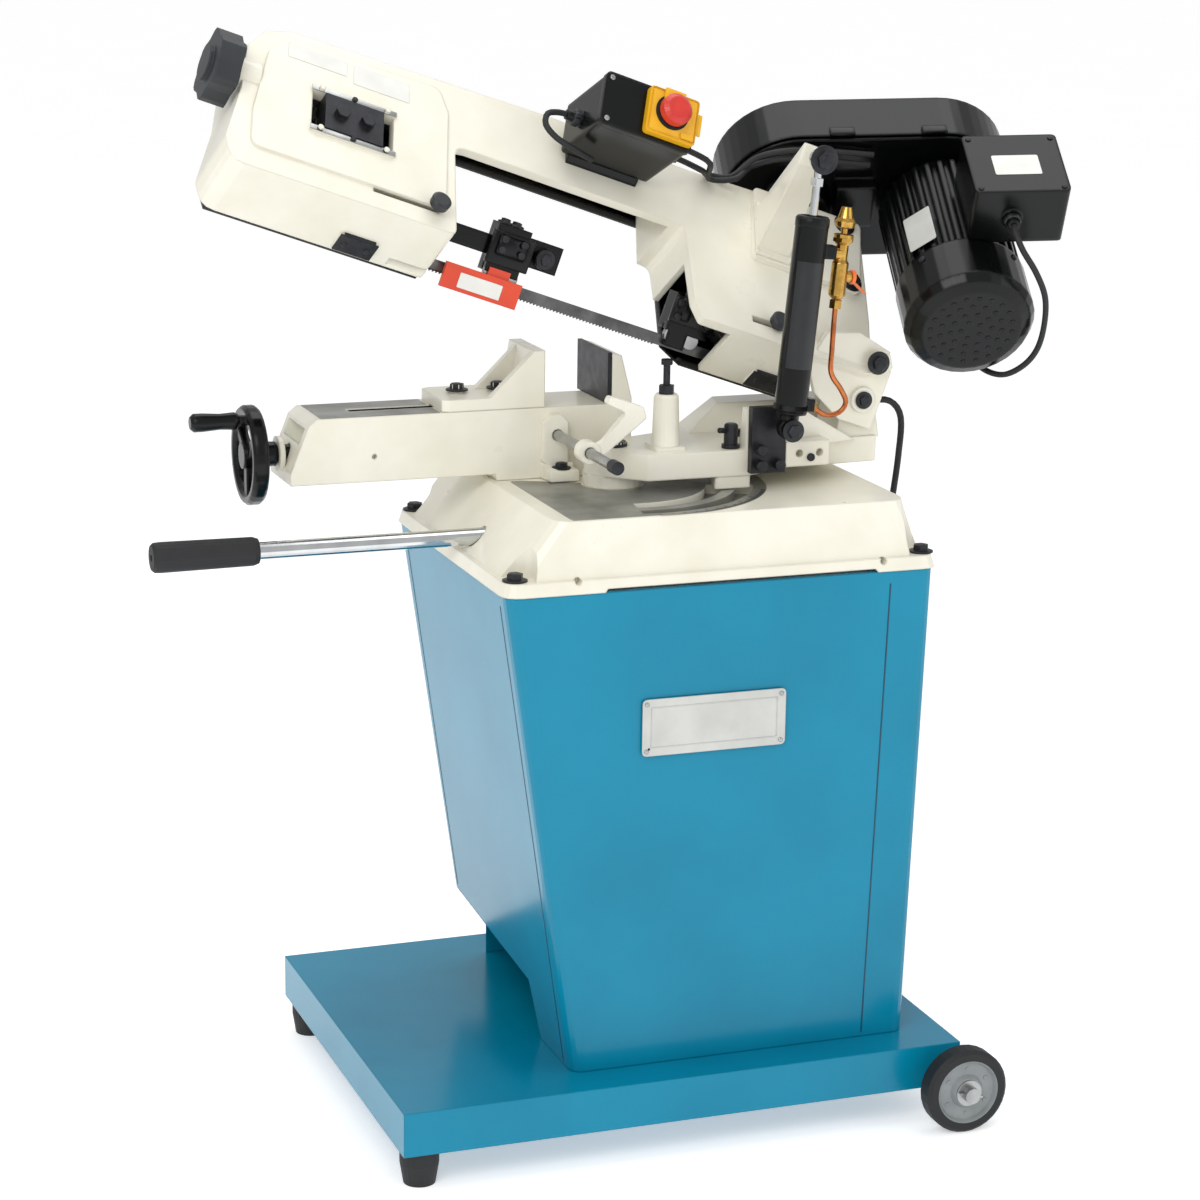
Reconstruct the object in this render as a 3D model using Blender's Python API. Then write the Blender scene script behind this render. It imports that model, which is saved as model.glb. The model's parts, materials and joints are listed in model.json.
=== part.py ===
"""Manual-feed mitring band saw on a wheeled stand, built from separate solids.

Frame: X to the operator's right, Y away from the operator, Z up. Metres.
The shapes below are given in millimetres from the tray's front left corner
at floor level; ORIGIN moves that corner so that the world origin lies on the
floor under the middle of the machine.
"""

import math

import bmesh
import bpy
from mathutils import Matrix, Vector

MM = 0.001
ORIGIN = (-327.9, -256.0, 0.0)

# Stand
TRAY_SIZE = (671.0, 512.0)
TRAY_Z = (40.7, 91.8)
SHEET = 2.0
CABINET_TOP_Z = 647.5
WHEEL_RADIUS = 50.0
AXLE = (659.0, 50.0)

# Base and vise
BASE_TOP_Z = 723.5
PIVOT = (320.5, 241.5)
BED_Z = 806.0
SCREW_AXIS = (338.0, 760.7)
HANDWHEEL_RADIUS = 56.5
JAW_FACE_X = 256.0
FIXED_JAW_X = 332.0

# Saw head
HINGE = (613.5, 267.0, 812.8)
HEAD_ANGLE = math.radians(19.49)
CANT = math.radians(45.0)
BLADE_DROP = 9.0
BLADE_WIDTH = 13.0
BLADE_THICKNESS = 0.9
BAND_WHEEL_RADIUS = 90.0
DRIVE_AT = 100.0
IDLER_AT = 683.0
FACE_W = 76.0
REAR_W = -8.0
COVER_BACK_W = -18.0

# Drive unit
PULLEY_SPACING = 170.0
COVER_RADIUS = 92.0
COVER_DEPTH = 78.0
MOTOR_RADIUS = 74.0
MOTOR_LENGTH = 240.0

# Feed cylinder
CYLINDER_FOOT = (493.0, 141.0, 797.0)
CYLINDER_TOP = (522.0, 141.0, 1098.6)
CYLINDER_RADIUS = 18.75

GAP = 0.3
ROUND_DETAIL = 0.80


def clear_scene():
    for item in list(bpy.data.objects):
        bpy.data.objects.remove(item, do_unlink=True)


def material(name, colour, roughness, metallic=0.0):
    """Principled material with one colour."""
    made = bpy.data.materials.new(name)
    made.use_nodes = True
    shader = made.node_tree.nodes["Principled BSDF"]
    shader.inputs["Base Color"].default_value = (*colour, 1.0)
    shader.inputs["Roughness"].default_value = roughness
    shader.inputs["Metallic"].default_value = metallic
    return made


def empty(name, location, rotation=(0.0, 0.0, 0.0), parent=None, order="XYZ"):
    """Frame that carries pieces; location in mm in the parent's frame."""
    frame = bpy.data.objects.new(name, None)
    frame.location = Vector(location) * MM
    frame.rotation_mode = order
    frame.rotation_euler = rotation
    frame.parent = parent
    bpy.context.scene.collection.objects.link(frame)
    return frame


def solid(mesh, name, parent, coat, pivot=(0.0, 0.0, 0.0), smooth=35.0):
    """Turn a bmesh in mm into an object whose origin is at pivot."""
    bmesh.ops.recalc_face_normals(mesh, faces=mesh.faces)
    offset = Vector(pivot)
    for vert in mesh.verts:
        vert.co = (vert.co - offset) * MM
    data = bpy.data.meshes.new(name)
    mesh.to_mesh(data)
    mesh.free()
    data.shade_smooth()
    data.set_sharp_from_angle(angle=math.radians(smooth))
    data.materials.append(coat)
    piece = bpy.data.objects.new(name, data)
    piece.location = offset * MM
    piece.parent = parent
    bpy.context.scene.collection.objects.link(piece)
    return piece


def boolean(piece, tool, operation):
    """Cut or join with a helper object, which is left out of the build."""
    tool.hide_render = True
    tool.display_type = "WIRE"
    step = piece.modifiers.new(tool.name, "BOOLEAN")
    step.operation = operation
    step.solver = "EXACT"
    step.object = tool
    return piece


def cut(piece, *meshes):
    for number, mesh in enumerate(meshes):
        name = f"{piece.name}_cut_{len(piece.modifiers)}_{number}"
        tool = solid(mesh, name, piece.parent, piece.data.materials[0])
        boolean(piece, tool, "DIFFERENCE")
    return piece


def join(piece, *meshes):
    for number, mesh in enumerate(meshes):
        name = f"{piece.name}_join_{len(piece.modifiers)}_{number}"
        tool = solid(mesh, name, piece.parent, piece.data.materials[0])
        boolean(piece, tool, "UNION")
    return piece


def rounded(points, radius, steps=4):
    """Round the corners of an outline; radius is one value or one per corner."""
    count = len(points)
    radii = [radius] * count if isinstance(radius, (int, float)) else radius
    result = []
    for index, point in enumerate(points):
        corner = Vector(point)
        before = (Vector(points[index - 1]) - corner)
        after = (Vector(points[(index + 1) % count]) - corner)
        size = radii[index]
        if size <= 0.0:
            result.append(tuple(corner))
            continue
        half = before.angle(after) / 2.0
        reach = min(size / math.tan(half), before.length * 0.49, after.length * 0.49)
        start = corner + before.normalized() * reach
        end = corner + after.normalized() * reach
        for step in range(steps + 1):
            t = step / steps
            result.append(tuple(start * (1 - t) ** 2 + corner * 2 * t * (1 - t) + end * t ** 2))
    return result


def round_steps(steps):
    """Sides of a round piece, fewer for every piece when detail is lowered."""
    return steps if steps <= 12 else max(12, 2 * round(steps * ROUND_DETAIL / 2))


AXES = {"X": (1, 2, 0), "Y": (0, 2, 1), "Z": (0, 1, 2)}


def prism(points, axis, low, high, top=None):
    """Solid between two outlines across an axis; top may differ from points."""
    first, second, third = AXES[axis]
    mesh = bmesh.new()
    rings = []
    for outline, height in ((points, low), (top or points, high)):
        ring = []
        for point in outline:
            place = [0.0, 0.0, 0.0]
            place[first] = point[0]
            place[second] = point[1]
            place[third] = height
            ring.append(mesh.verts.new(place))
        rings.append(ring)
    mesh.faces.new(rings[0])
    mesh.faces.new(rings[1])
    count = len(points)
    for index in range(count):
        after = (index + 1) % count
        mesh.faces.new((rings[0][index], rings[0][after], rings[1][after], rings[1][index]))
    return mesh


def box(x0, x1, y0, y1, z0, z1):
    return prism([(x0, y0), (x1, y0), (x1, y1), (x0, y1)], "Z", z0, z1)


def rect(x0, x1, z0, z1, radius=0.0, steps=4):
    points = [(x0, z0), (x1, z0), (x1, z1), (x0, z1)]
    return rounded(points, radius, steps) if radius else points


def turned(profile, origin, axis, steps=32, start=0.0):
    """Solid of revolution; profile is (distance along the axis, radius)."""
    mesh = bmesh.new()
    steps = round_steps(steps)
    along = Vector(axis).normalized()
    turn = along.to_track_quat("Z", "Y").to_matrix()
    rings = []
    for distance, radius in profile:
        if radius <= 0.0:
            rings.append([mesh.verts.new(Vector(origin) + along * distance)])
            continue
        ring = []
        for step in range(steps):
            angle = start + 2.0 * math.pi * step / steps
            spoke = Vector((radius * math.cos(angle), radius * math.sin(angle), distance))
            ring.append(mesh.verts.new(Vector(origin) + turn @ spoke))
        rings.append(ring)
    for lower, upper in zip(rings, rings[1:]):
        for step in range(steps):
            after = (step + 1) % steps
            if len(lower) == 1:
                mesh.faces.new((lower[0], upper[after], upper[step]))
            elif len(upper) == 1:
                mesh.faces.new((lower[step], lower[after], upper[0]))
            else:
                mesh.faces.new((lower[step], lower[after], upper[after], upper[step]))
    if len(rings[0]) > 1:
        mesh.faces.new(rings[0])
    if len(rings[-1]) > 1:
        mesh.faces.new(rings[-1])
    return mesh


def ring_turned(profile, origin, axis, steps=32):
    """Solid of revolution from a closed profile that stays off the axis."""
    mesh = bmesh.new()
    steps = round_steps(steps)
    along = Vector(axis).normalized()
    turn = along.to_track_quat("Z", "Y").to_matrix()
    rings = []
    for distance, radius in profile:
        ring = []
        for step in range(steps):
            angle = 2.0 * math.pi * step / steps
            spoke = Vector((radius * math.cos(angle), radius * math.sin(angle), distance))
            ring.append(mesh.verts.new(Vector(origin) + turn @ spoke))
        rings.append(ring)
    for index in range(len(rings)):
        lower = rings[index]
        upper = rings[(index + 1) % len(rings)]
        for step in range(steps):
            after = (step + 1) % steps
            mesh.faces.new((lower[step], lower[after], upper[after], upper[step]))
    return mesh


def rod(start, end, radius, steps=20):
    reach = (Vector(end) - Vector(start)).length
    axis = Vector(end) - Vector(start)
    return turned([(0.0, radius), (reach, radius)], start, axis, steps)


def hex_bolt(seat, axis, radius, height):
    """Hexagon head standing on its seat."""
    return turned([(0.0, radius), (height, radius)], seat, axis, 6)


def hull(points):
    mesh = bmesh.new()
    for point in points:
        mesh.verts.new(point)
    bmesh.ops.convex_hull(mesh, input=mesh.verts)
    return mesh


clear_scene()

CREAM = material("cream_paint", (0.80, 0.78, 0.66), 0.38)
BLUE = material("blue_paint", (0.02, 0.19, 0.36), 0.22)
BLACK = material("black_paint", (0.012, 0.012, 0.014), 0.30)
GREY = material("dark_grey_plastic", (0.05, 0.055, 0.06), 0.45)
RUBBER = material("black_rubber", (0.015, 0.015, 0.015), 0.70)
STEEL = material("machined_steel", (0.55, 0.55, 0.54), 0.28, 1.0)
CHROME = material("chrome", (0.80, 0.80, 0.80), 0.10, 1.0)
OXIDE = material("black_oxide", (0.03, 0.03, 0.03), 0.42, 0.6)
RED = material("red_guard_paint", (0.75, 0.07, 0.02), 0.35)
YELLOW = material("yellow_plastic", (0.85, 0.60, 0.02), 0.40)
BRASS = material("brass", (0.75, 0.50, 0.18), 0.28, 1.0)
COPPER = material("copper", (0.80, 0.38, 0.20), 0.30, 1.0)
HUB_GREY = material("grey_plastic", (0.42, 0.44, 0.44), 0.5)
PLATE = material("plain_plate", (0.60, 0.60, 0.58), 0.4, 0.8)

stand = empty("stand", ORIGIN)
swivel = empty("mitre_pivot", (PIVOT[0], PIVOT[1], BASE_TOP_Z), parent=stand)
head = empty("head_hinge", HINGE, (0.0, HEAD_ANGLE, 0.0), parent=stand)
# Canted frame: X right along the band, Y down and back through the wheels,
# Z up and back across the wheel plane; its origin is on the band's cut line.
bow = empty("bow_frame", (0.0, 0.0, -BLADE_DROP), (-CANT, 0.0, 0.0), parent=head)
drive = empty(
    "drive_frame", (-77.8, 123.8, 194.6), (math.radians(35.0), math.radians(-25.0), 0.0),
    parent=head, order="ZYX",
)
switch = empty("switch_frame", (-355.0, -48.7, 198.8), (math.radians(-27.0), 0.0, 0.0), parent=head)


# ---------------------------------------------------------------- stand
def build_stand():
    width, depth = TRAY_SIZE
    low, high = TRAY_Z
    tray = solid(box(0, width, 0, depth, low, high), "tray", stand, BLUE)
    cut(tray, box(SHEET, width - SHEET, SHEET, depth - SHEET, low - 5, high - SHEET))
    for name, y in (("foot_front", 25.0), ("foot_rear", depth - 25.0)):
        profile = [(0.0, 18.0), (24.0, 22.0), (high - SHEET - GAP, 22.0)]
        solid(turned(profile, (25.0, y, 0.0), (0, 0, 1), 24), name, stand, RUBBER)
    bottom = rounded([(212, 51), (623, 51), (623, 449), (212, 449)], 16.0)
    top = rounded([(130, 48), (638, 48), (638, 458), (130, 458)], 16.0)
    z0 = high + GAP
    cabinet = solid(prism(bottom, "Z", z0, CABINET_TOP_Z - GAP, top), "cabinet", stand, BLUE)
    inner_low = [(x + (SHEET if x < 400 else -SHEET), y + (SHEET if y < 250 else -SHEET))
                 for x, y in rounded([(212, 51), (623, 51), (623, 449), (212, 449)], 14.0)]
    inner_top = [(x + (SHEET if x < 400 else -SHEET), y + (SHEET if y < 250 else -SHEET))
                 for x, y in rounded([(130, 48), (638, 48), (638, 458), (130, 458)], 14.0)]
    cut(cabinet, prism(inner_low, "Z", z0 - 3.0, CABINET_TOP_Z - SHEET, inner_top))
    opening = [(155, 80), (455, 80), (455, 187), (175, 160)]
    cut(cabinet, prism(opening, "X", 150, 240))
    badge = solid(prism(rect(287, 458, 458, 523, 6.0), "Y", 45.0, 46.6), "badge_plate", stand, PLATE)
    cut(badge, rod((295, 44, 466), (295, 48, 466), 1.5, 12))
    axle = solid(rod((AXLE[0], -62, AXLE[1]), (AXLE[0], depth + 62, AXLE[1]), 9.5, 16), "axle", stand, STEEL)
    join(axle, box(AXLE[0] - 9, AXLE[0] + 9, 4, 12, AXLE[1], 89), box(AXLE[0] - 9, AXLE[0] + 9, depth - 12, depth - 4, AXLE[1], 89))
    slot = [(AXLE[0] - 10.2, low - 5), (AXLE[0] + 10.2, low - 5), (AXLE[0] + 10.2, AXLE[1] + 10), (AXLE[0] - 10.2, AXLE[1] + 10)]
    cut(tray, prism(slot, "Y", -5, depth + 5))
    for name, y, side in (("wheel_front", -36.0, -1), ("wheel_rear", depth + 36.0, 1)):
        rim = [(-14.0, 10.2), (-14.0, 17.0), (-8.0, 20.0), (-8.0, 34.0), (-13.0, 37.0), (-13.0, 46.0),
               (-9.0, WHEEL_RADIUS), (9.0, WHEEL_RADIUS), (13.0, 46.0), (13.0, 37.0), (8.0, 34.0),
               (8.0, 20.0), (14.0, 17.0), (14.0, 10.2)]
        solid(ring_turned(rim, (AXLE[0], y, AXLE[1]), (0, side, 0), 40), name, stand, HUB_GREY,
              (AXLE[0], y, AXLE[1]))


# ---------------------------------------------------------------- base casting
def build_base():
    low = rounded([(127, 46), (643, 46), (643, 463), (127, 463)], 22.0)
    shoulder = rounded([(131, 50), (639, 50), (639, 459), (131, 459)], 20.0)
    casting = solid(prism(low, "Z", CABINET_TOP_Z, 662.0, shoulder), "base_casting", stand, CREAM)
    foot = rounded([(136, 54), (636, 54), (636, 455), (136, 455)], 30.0)
    crown = rounded([(192, 68), (610, 68), (610, 448), (192, 448)], 26.0)
    join(casting, prism(foot, "Z", 660.0, BASE_TOP_Z, crown))
    cut(casting, box(182, 608, 80, 430, CABINET_TOP_Z - 5, 700))
    for x in (145.6, 628.9):
        for y in (68.6, 440.4):
            cut(casting, rod((x, y, 662.0), (x, y, 740.0), 24.0, 20))
            join(casting, hex_bolt((x, y, 661.0), (0, 0, 1), 7.5, 7.0))
    cut(casting, prism([(241, 646), (568, 646), (564, 651.5), (245, 651.5)], "Y", 40, 60))
    cut(casting, rod((212, 40, 661), (212, 62, 661), 4.0, 12), rod((574, 40, 659), (574, 62, 659), 4.0, 12))
    cut(casting, rod((120, 220, 678), (205, 220, 678), 10.6, 20))
    # T-slot for the mitre clamp, an arc about the pivot
    inner, outer = 106.0, 160.0
    arc = []
    for step in range(13):
        angle = math.radians(-98.0 + step * 80.0 / 12.0)
        arc.append((PIVOT[0] + outer * math.cos(angle), PIVOT[1] + outer * math.sin(angle)))
    for step in reversed(range(13)):
        angle = math.radians(-98.0 + step * 80.0 / 12.0)
        arc.append((PIVOT[0] + inner * math.cos(angle), PIVOT[1] + inner * math.sin(angle)))
    cut(casting, prism(arc, "Z", 712.0, 730.0))
    profile = [(0.0, 9.75), (390.0, 9.75), (391.5, 8.5)]
    solid(turned(profile, (-190.0, 220.0, 678.0), (1, 0, 0), 24), "lift_bar", stand, CHROME, (-190.0, 220.0, 678.0))
    grip = [(0.0, 14.0), (3.0, 16.5), (10.0, 17.0), (112.0, 16.0), (118.0, 14.0), (118.0, 10.1), (20.0, 10.1), (20.0, 4.0), (0.0, 4.0)]
    solid(ring_turned(grip, (-218.0, 220.0, 678.0), (1, 0, 0), 28), "lift_bar_grip", stand, RUBBER, (-218.0, 220.0, 678.0))


# ---------------------------------------------------------------- vise
def build_vise():
    y0, y1 = 292.6, 384.0
    side = [(-43, 731.4), (199, 731.4), (199, BASE_TOP_Z + GAP), (286, BASE_TOP_Z + GAP),
            (362, BASE_TOP_Z + GAP), (362, BED_Z), (-12, BED_Z), (-22, 798), (-43, 745)]
    body = solid(prism(side, "Y", y0, y1), "vise_body", stand, CREAM)
    cut(body, box(35, 250, 330.0, 346.0, 796.0, 812.0))
    cut(body, box(-30, 190, 304.0, 372.0, 725.0, 794.0))
    join(body, prism(rounded([(251, 723.8), (288, 723.8), (288, 743), (251, 743)], 3.0), "Y", 281.0, 294.0))
    join(body, prism(rounded([(252, 743), (281, 743), (281, 790), (272, 799), (261, 799), (252, 790)], 3.0), "Y", 281.0, 294.0))
    join(body, hex_bolt((269.5, 281.5, 733.0), (0, -1, 0), 6.0, 6.0))
    join(body, turned([(0, 20.0), (6.0, 20.0)], (-42.0, SCREW_AXIS[0], SCREW_AXIS[1]), (-1, 0, 0), 24))
    cut(body, rod((-60.0, *SCREW_AXIS), (-20.0, *SCREW_AXIS), 11.0, 24))
    cut(body, rod((54, 290, 760), (54, 300, 760), 3.0, 12))
    cut(body, rod((268, 270, 775.5), (268, 318, 775.5), 6.6, 20))
    # fixed jaw
    jaw = solid(prism([(337.3, BED_Z + GAP), (362, BED_Z + GAP), (362, 812), (349, 862), (337.3, 865)], "Y", y0, 395.0),
                "fixed_jaw", stand, CREAM)
    solid(prism([(FIXED_JAW_X, BED_Z + GAP), (337.0, BED_Z + GAP), (337.0, 866), (FIXED_JAW_X, 866)], "Y", y0 - 0.6, 395.5),
          "fixed_jaw_plate", stand, OXIDE)
    cut(jaw, prism([(342, 812), (364, 812), (364, 864), (354, 864)], "Y", 306.0, 338.0),
        prism([(342, 812), (364, 812), (364, 864), (354, 864)], "Y", 350.0, 382.0))
    # moving jaw
    z0 = BED_Z + GAP
    flange = [(134, 296), (142, 292.6), (JAW_FACE_X, 292.6), (JAW_FACE_X, 380), (142, 380), (134, 374)]
    moving = solid(prism(flange, "Z", z0, 820.0), "moving_jaw", stand, CREAM, (JAW_FACE_X, SCREW_AXIS[0], z0))
    rib = [(190, 819), (JAW_FACE_X, 819), (JAW_FACE_X, 871.8), (244, 871.8)]
    join(moving, prism([(232, 819), (JAW_FACE_X, 819), (JAW_FACE_X, 871.8), (242, 871.8)], "Y", 292.6, 380.0))
    join(moving, prism(rib, "Y", 292.6, 304.0), prism(rib, "Y", 352.0, 362.0))
    for x in (165.0, 214.0):
        join(moving, turned([(0, 9.5), (3.0, 9.5)], (x, 338.0, 819.5), (0, 0, 1), 20))
        join(moving, turned([(0, 7.5), (8.0, 7.5)], (x, 338.0, 822.0), (0, 0, 1), 16))
    # handwheel, its hub and lead screw stub
    hub = (-78.0, *SCREW_AXIS)
    rim = [(-9.0, HANDWHEEL_RADIUS - 9), (-9.0, HANDWHEEL_RADIUS - 3), (-5.0, HANDWHEEL_RADIUS), (5.0, HANDWHEEL_RADIUS),
           (9.0, HANDWHEEL_RADIUS - 3), (9.0, HANDWHEEL_RADIUS - 9), (5.0, HANDWHEEL_RADIUS - 13), (-5.0, HANDWHEEL_RADIUS - 13)]
    wheel = solid(ring_turned(rim, hub, (1, 0, 0), 40), "handwheel", stand, BLACK, hub)
    join(wheel, turned([(-10.0, 15.0), (28.0, 14.0), (28.6, 10.0), (50.0, 10.0)], hub, (1, 0, 0), 24))
    join(wheel, prism(rounded([(300, 790), (296, 783), (332, 752), (344, 752), (380, 783), (376, 790), (344, 770), (332, 770)], 3.0, 2),
                      "X", -84.0, -74.0))
    join(wheel, prism([(331, 705), (345, 705), (344, 760), (332, 760)], "X", -84.0, -74.0))
    join(wheel, rod((-96.0, 320.0, 804.0), (-80.0, 320.0, 804.0), 6.0, 16))
    grip = [(0.0, 8.0), (4.0, 10.0), (20.0, 9.0), (40.0, 10.5), (50.0, 10.5), (54.0, 7.0)]
    solid(turned(grip, (-96.4, 320.0, 804.0), (-1, 0, 0), 24), "crank_grip", stand, BLACK, (-96.4, 320.0, 804.0))
    # cut-off length stop
    stop_z = 775.5
    solid(turned([(0, 5.2), (1.0, 6.0), (222.0, 6.0)], (268.0, 88.0, stop_z), (0, 1, 0), 20), "stop_rod", stand, STEEL)
    arm = solid(ring_turned([(-9.0, 6.5), (-9.0, 13.0), (9.0, 13.0), (9.0, 6.5)], (268.0, 181.0, stop_z), (0, 1, 0), 28),
                "stop_arm", stand, CREAM, (268.0, 181.0, stop_z))
    lever = rounded([(278, 779), (284, 770), (336, 811), (332, 824), (292, 838), (288, 829), (312, 818)], 4.0, 3)
    join(arm, prism(lever, "Y", 175.0, 187.0))
    join(arm, rod((278.0, 181.0, stop_z + 6.0), (292.0, 181.0, stop_z + 15.0), 3.0, 12))


# ---------------------------------------------------------------- swivel arm
def build_swivel():
    def local(x, y):
        return (x - PIVOT[0], y - PIVOT[1])

    base = GAP
    plate_z = (738.0 - BASE_TOP_Z, 768.0 - BASE_TOP_Z)
    outline = [local(341, 178), local(465, 177), local(520, 205), local(640, 214), local(640, 350), local(430, 350),
               local(395, 300), local(330, 276.0), local(296, 262), local(284, 240), local(300, 214)]
    arm = solid(prism(rounded(outline, 9.0, 3), "Z", *plate_z), "swivel_arm", swivel, CREAM)
    join(arm, prism(rounded([local(421, 178), local(464, 178), local(478, 212), local(430, 214)], 4.0, 3), "Z", base, plate_z[0] + 2))
    join(arm, turned([(base, 34.0), (plate_z[0] + 1, 34.0)], (0, 0, 0), (0, 0, 1), 28))
    join(arm, turned([(plate_z[1] - 1, 16.0), (plate_z[1] + 5, 15.0)], (0, 0, 0), (0, 0, 1), 24))
    join(arm, prism([local(500, 290), local(640, 290), local(640, 350), local(500, 350)], "Z", base, plate_z[0] + 1))
    dome = [local(430, 285), local(640, 285), local(640, 346), local(440, 346)]
    crest = [local(470, 297), local(636, 292), local(636, 336), local(480, 336)]
    join(arm, prism(dome, "Z", plate_z[1] - 1, 800 - BASE_TOP_Z, crest))
    # hinge ear inside the head casting
    ear = [(586 - PIVOT[0], 766 - BASE_TOP_Z), (641 - PIVOT[0], 766 - BASE_TOP_Z)]
    centre = (HINGE[0] - PIVOT[0], HINGE[2] - BASE_TOP_Z)
    for step in range(13):
        angle = math.radians(-10.0 + step * 200.0 / 12.0)
        ear.append((centre[0] + 21.0 * math.cos(angle), centre[1] + 21.0 * math.sin(angle)))
    join(arm, prism(ear, "Y", 216.0 - PIVOT[1], 274.0 - PIVOT[1]))
    # front wall that carries the feed cylinder
    wall = [local(458, 178), local(502, 178), local(606, 205), local(606, 214), local(458, 200)]
    join(arm, prism(wall, "Z", plate_z[1] - 2, 815 - BASE_TOP_Z, [local(458, 178), local(502, 178), local(520, 186), local(520, 192), local(458, 190)]))
    # stop boss
    bx, by = local(372.5, 210.0)
    join(arm, box(bx - 18, bx + 18, by - 18, by + 18, plate_z[1] - 1, plate_z[1] + 4))
    join(arm, turned([(plate_z[1] + 3, 16.0), (plate_z[1] + 60, 14.3), (plate_z[1] + 63, 12.0)], (bx, by, 0), (0, 0, 1), 28))
    top = plate_z[1] + 63.3
    bolt = solid(turned([(0, 9.2), (9.5, 9.2)], (bx, by, top), (0, 0, 1), 6), "head_stop_bolt", swivel, OXIDE, (bx, by, top))
    join(bolt, rod((bx, by, top + 9), (bx, by, top + 34), 4.0, 16))
    join(bolt, hex_bolt((bx, by, top + 33), (0, 0, 1), 7.0, 6.0))
    cut(bolt, turned([(-1, 5.0), (2, 5.0)], (bx, by, top), (0, 0, 1), 12))
    join(bolt, turned([(0.2, 4.6), (4, 4.6)], (bx, by, top), (0, 0, 1), 12))
    # mitre clamp handle bolt
    mx, my = local(445, 192)
    clamp = solid(turned([(0, 10.5), (4.0, 10.5), (4.0, 8.0), (26.0, 8.0), (28.0, 6.0)], (mx, my, plate_z[1] + GAP), (0, 0, 1), 24),
                  "mitre_clamp_bolt", swivel, OXIDE, (mx, my, plate_z[1] + GAP))
    join(clamp, rod((mx, my, plate_z[1] + 20), (mx - 17, my - 6, plate_z[1] + 22), 3.2, 12))
    # dark cylinder bracket and its three screws
    bracket = solid(box(460 - PIVOT[0], 501.6 - PIVOT[0], 166 - PIVOT[1], 176.6 - PIVOT[1], 742 - BASE_TOP_Z, 818 - BASE_TOP_Z),
                    "cylinder_bracket", swivel, OXIDE)
    for x, z in ((470, 770), (492, 752), (470, 752)):
        join(bracket, rod((x - PIVOT[0], 167 - PIVOT[1], z - BASE_TOP_Z), (x - PIVOT[0], 160 - PIVOT[1], z - BASE_TOP_Z), 6.0, 14))
    foot = (CYLINDER_FOOT[0] - PIVOT[0], CYLINDER_FOOT[1] - PIVOT[1], CYLINDER_FOOT[2] - BASE_TOP_Z)
    join(bracket, rod((foot[0], 168 - PIVOT[1], foot[2]), (foot[0], 126 - PIVOT[1], foot[2]), 5.0, 16))
    join(arm, box(503 - PIVOT[0], 557 - PIVOT[0], 168 - PIVOT[1], 200 - PIVOT[1], 747 - BASE_TOP_Z, 776 - BASE_TOP_Z))
    for x in (520, 545):
        cut(arm, rod((x - PIVOT[0], 160 - PIVOT[1], 762 - BASE_TOP_Z), (x - PIVOT[0], 180 - PIVOT[1], 762 - BASE_TOP_Z), 4.5, 12))
    relief = turned([(0, 9.0), (6.0, 9.0), (6.0, 6.5), (14.0, 5.5)], (640.3 - PIVOT[0], 325 - PIVOT[1], 780 - BASE_TOP_Z), (1, 0, 0), 16)
    solid(relief, "cord_strain_relief", swivel, RUBBER)


build_stand()
build_base()
build_vise()
build_swivel()


# ---------------------------------------------------------------- saw head
def mirror_x(points):
    """Outlines of the head are measured leftwards from the hinge."""
    return [(-a, v) for a, v in points]


def bow_prism(points, back, front, radius=0.0, steps=3):
    """Prism across the bow; back and front are distances towards the operator."""
    outline = mirror_x(points)
    if radius:
        outline = rounded(outline, radius, steps)
    return prism(outline, "Y", -front, -back)


def bow_rod(a, v, back, front, radius, steps=20):
    return rod((-a, -back, v), (-a, -front, v), radius, steps)


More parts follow.
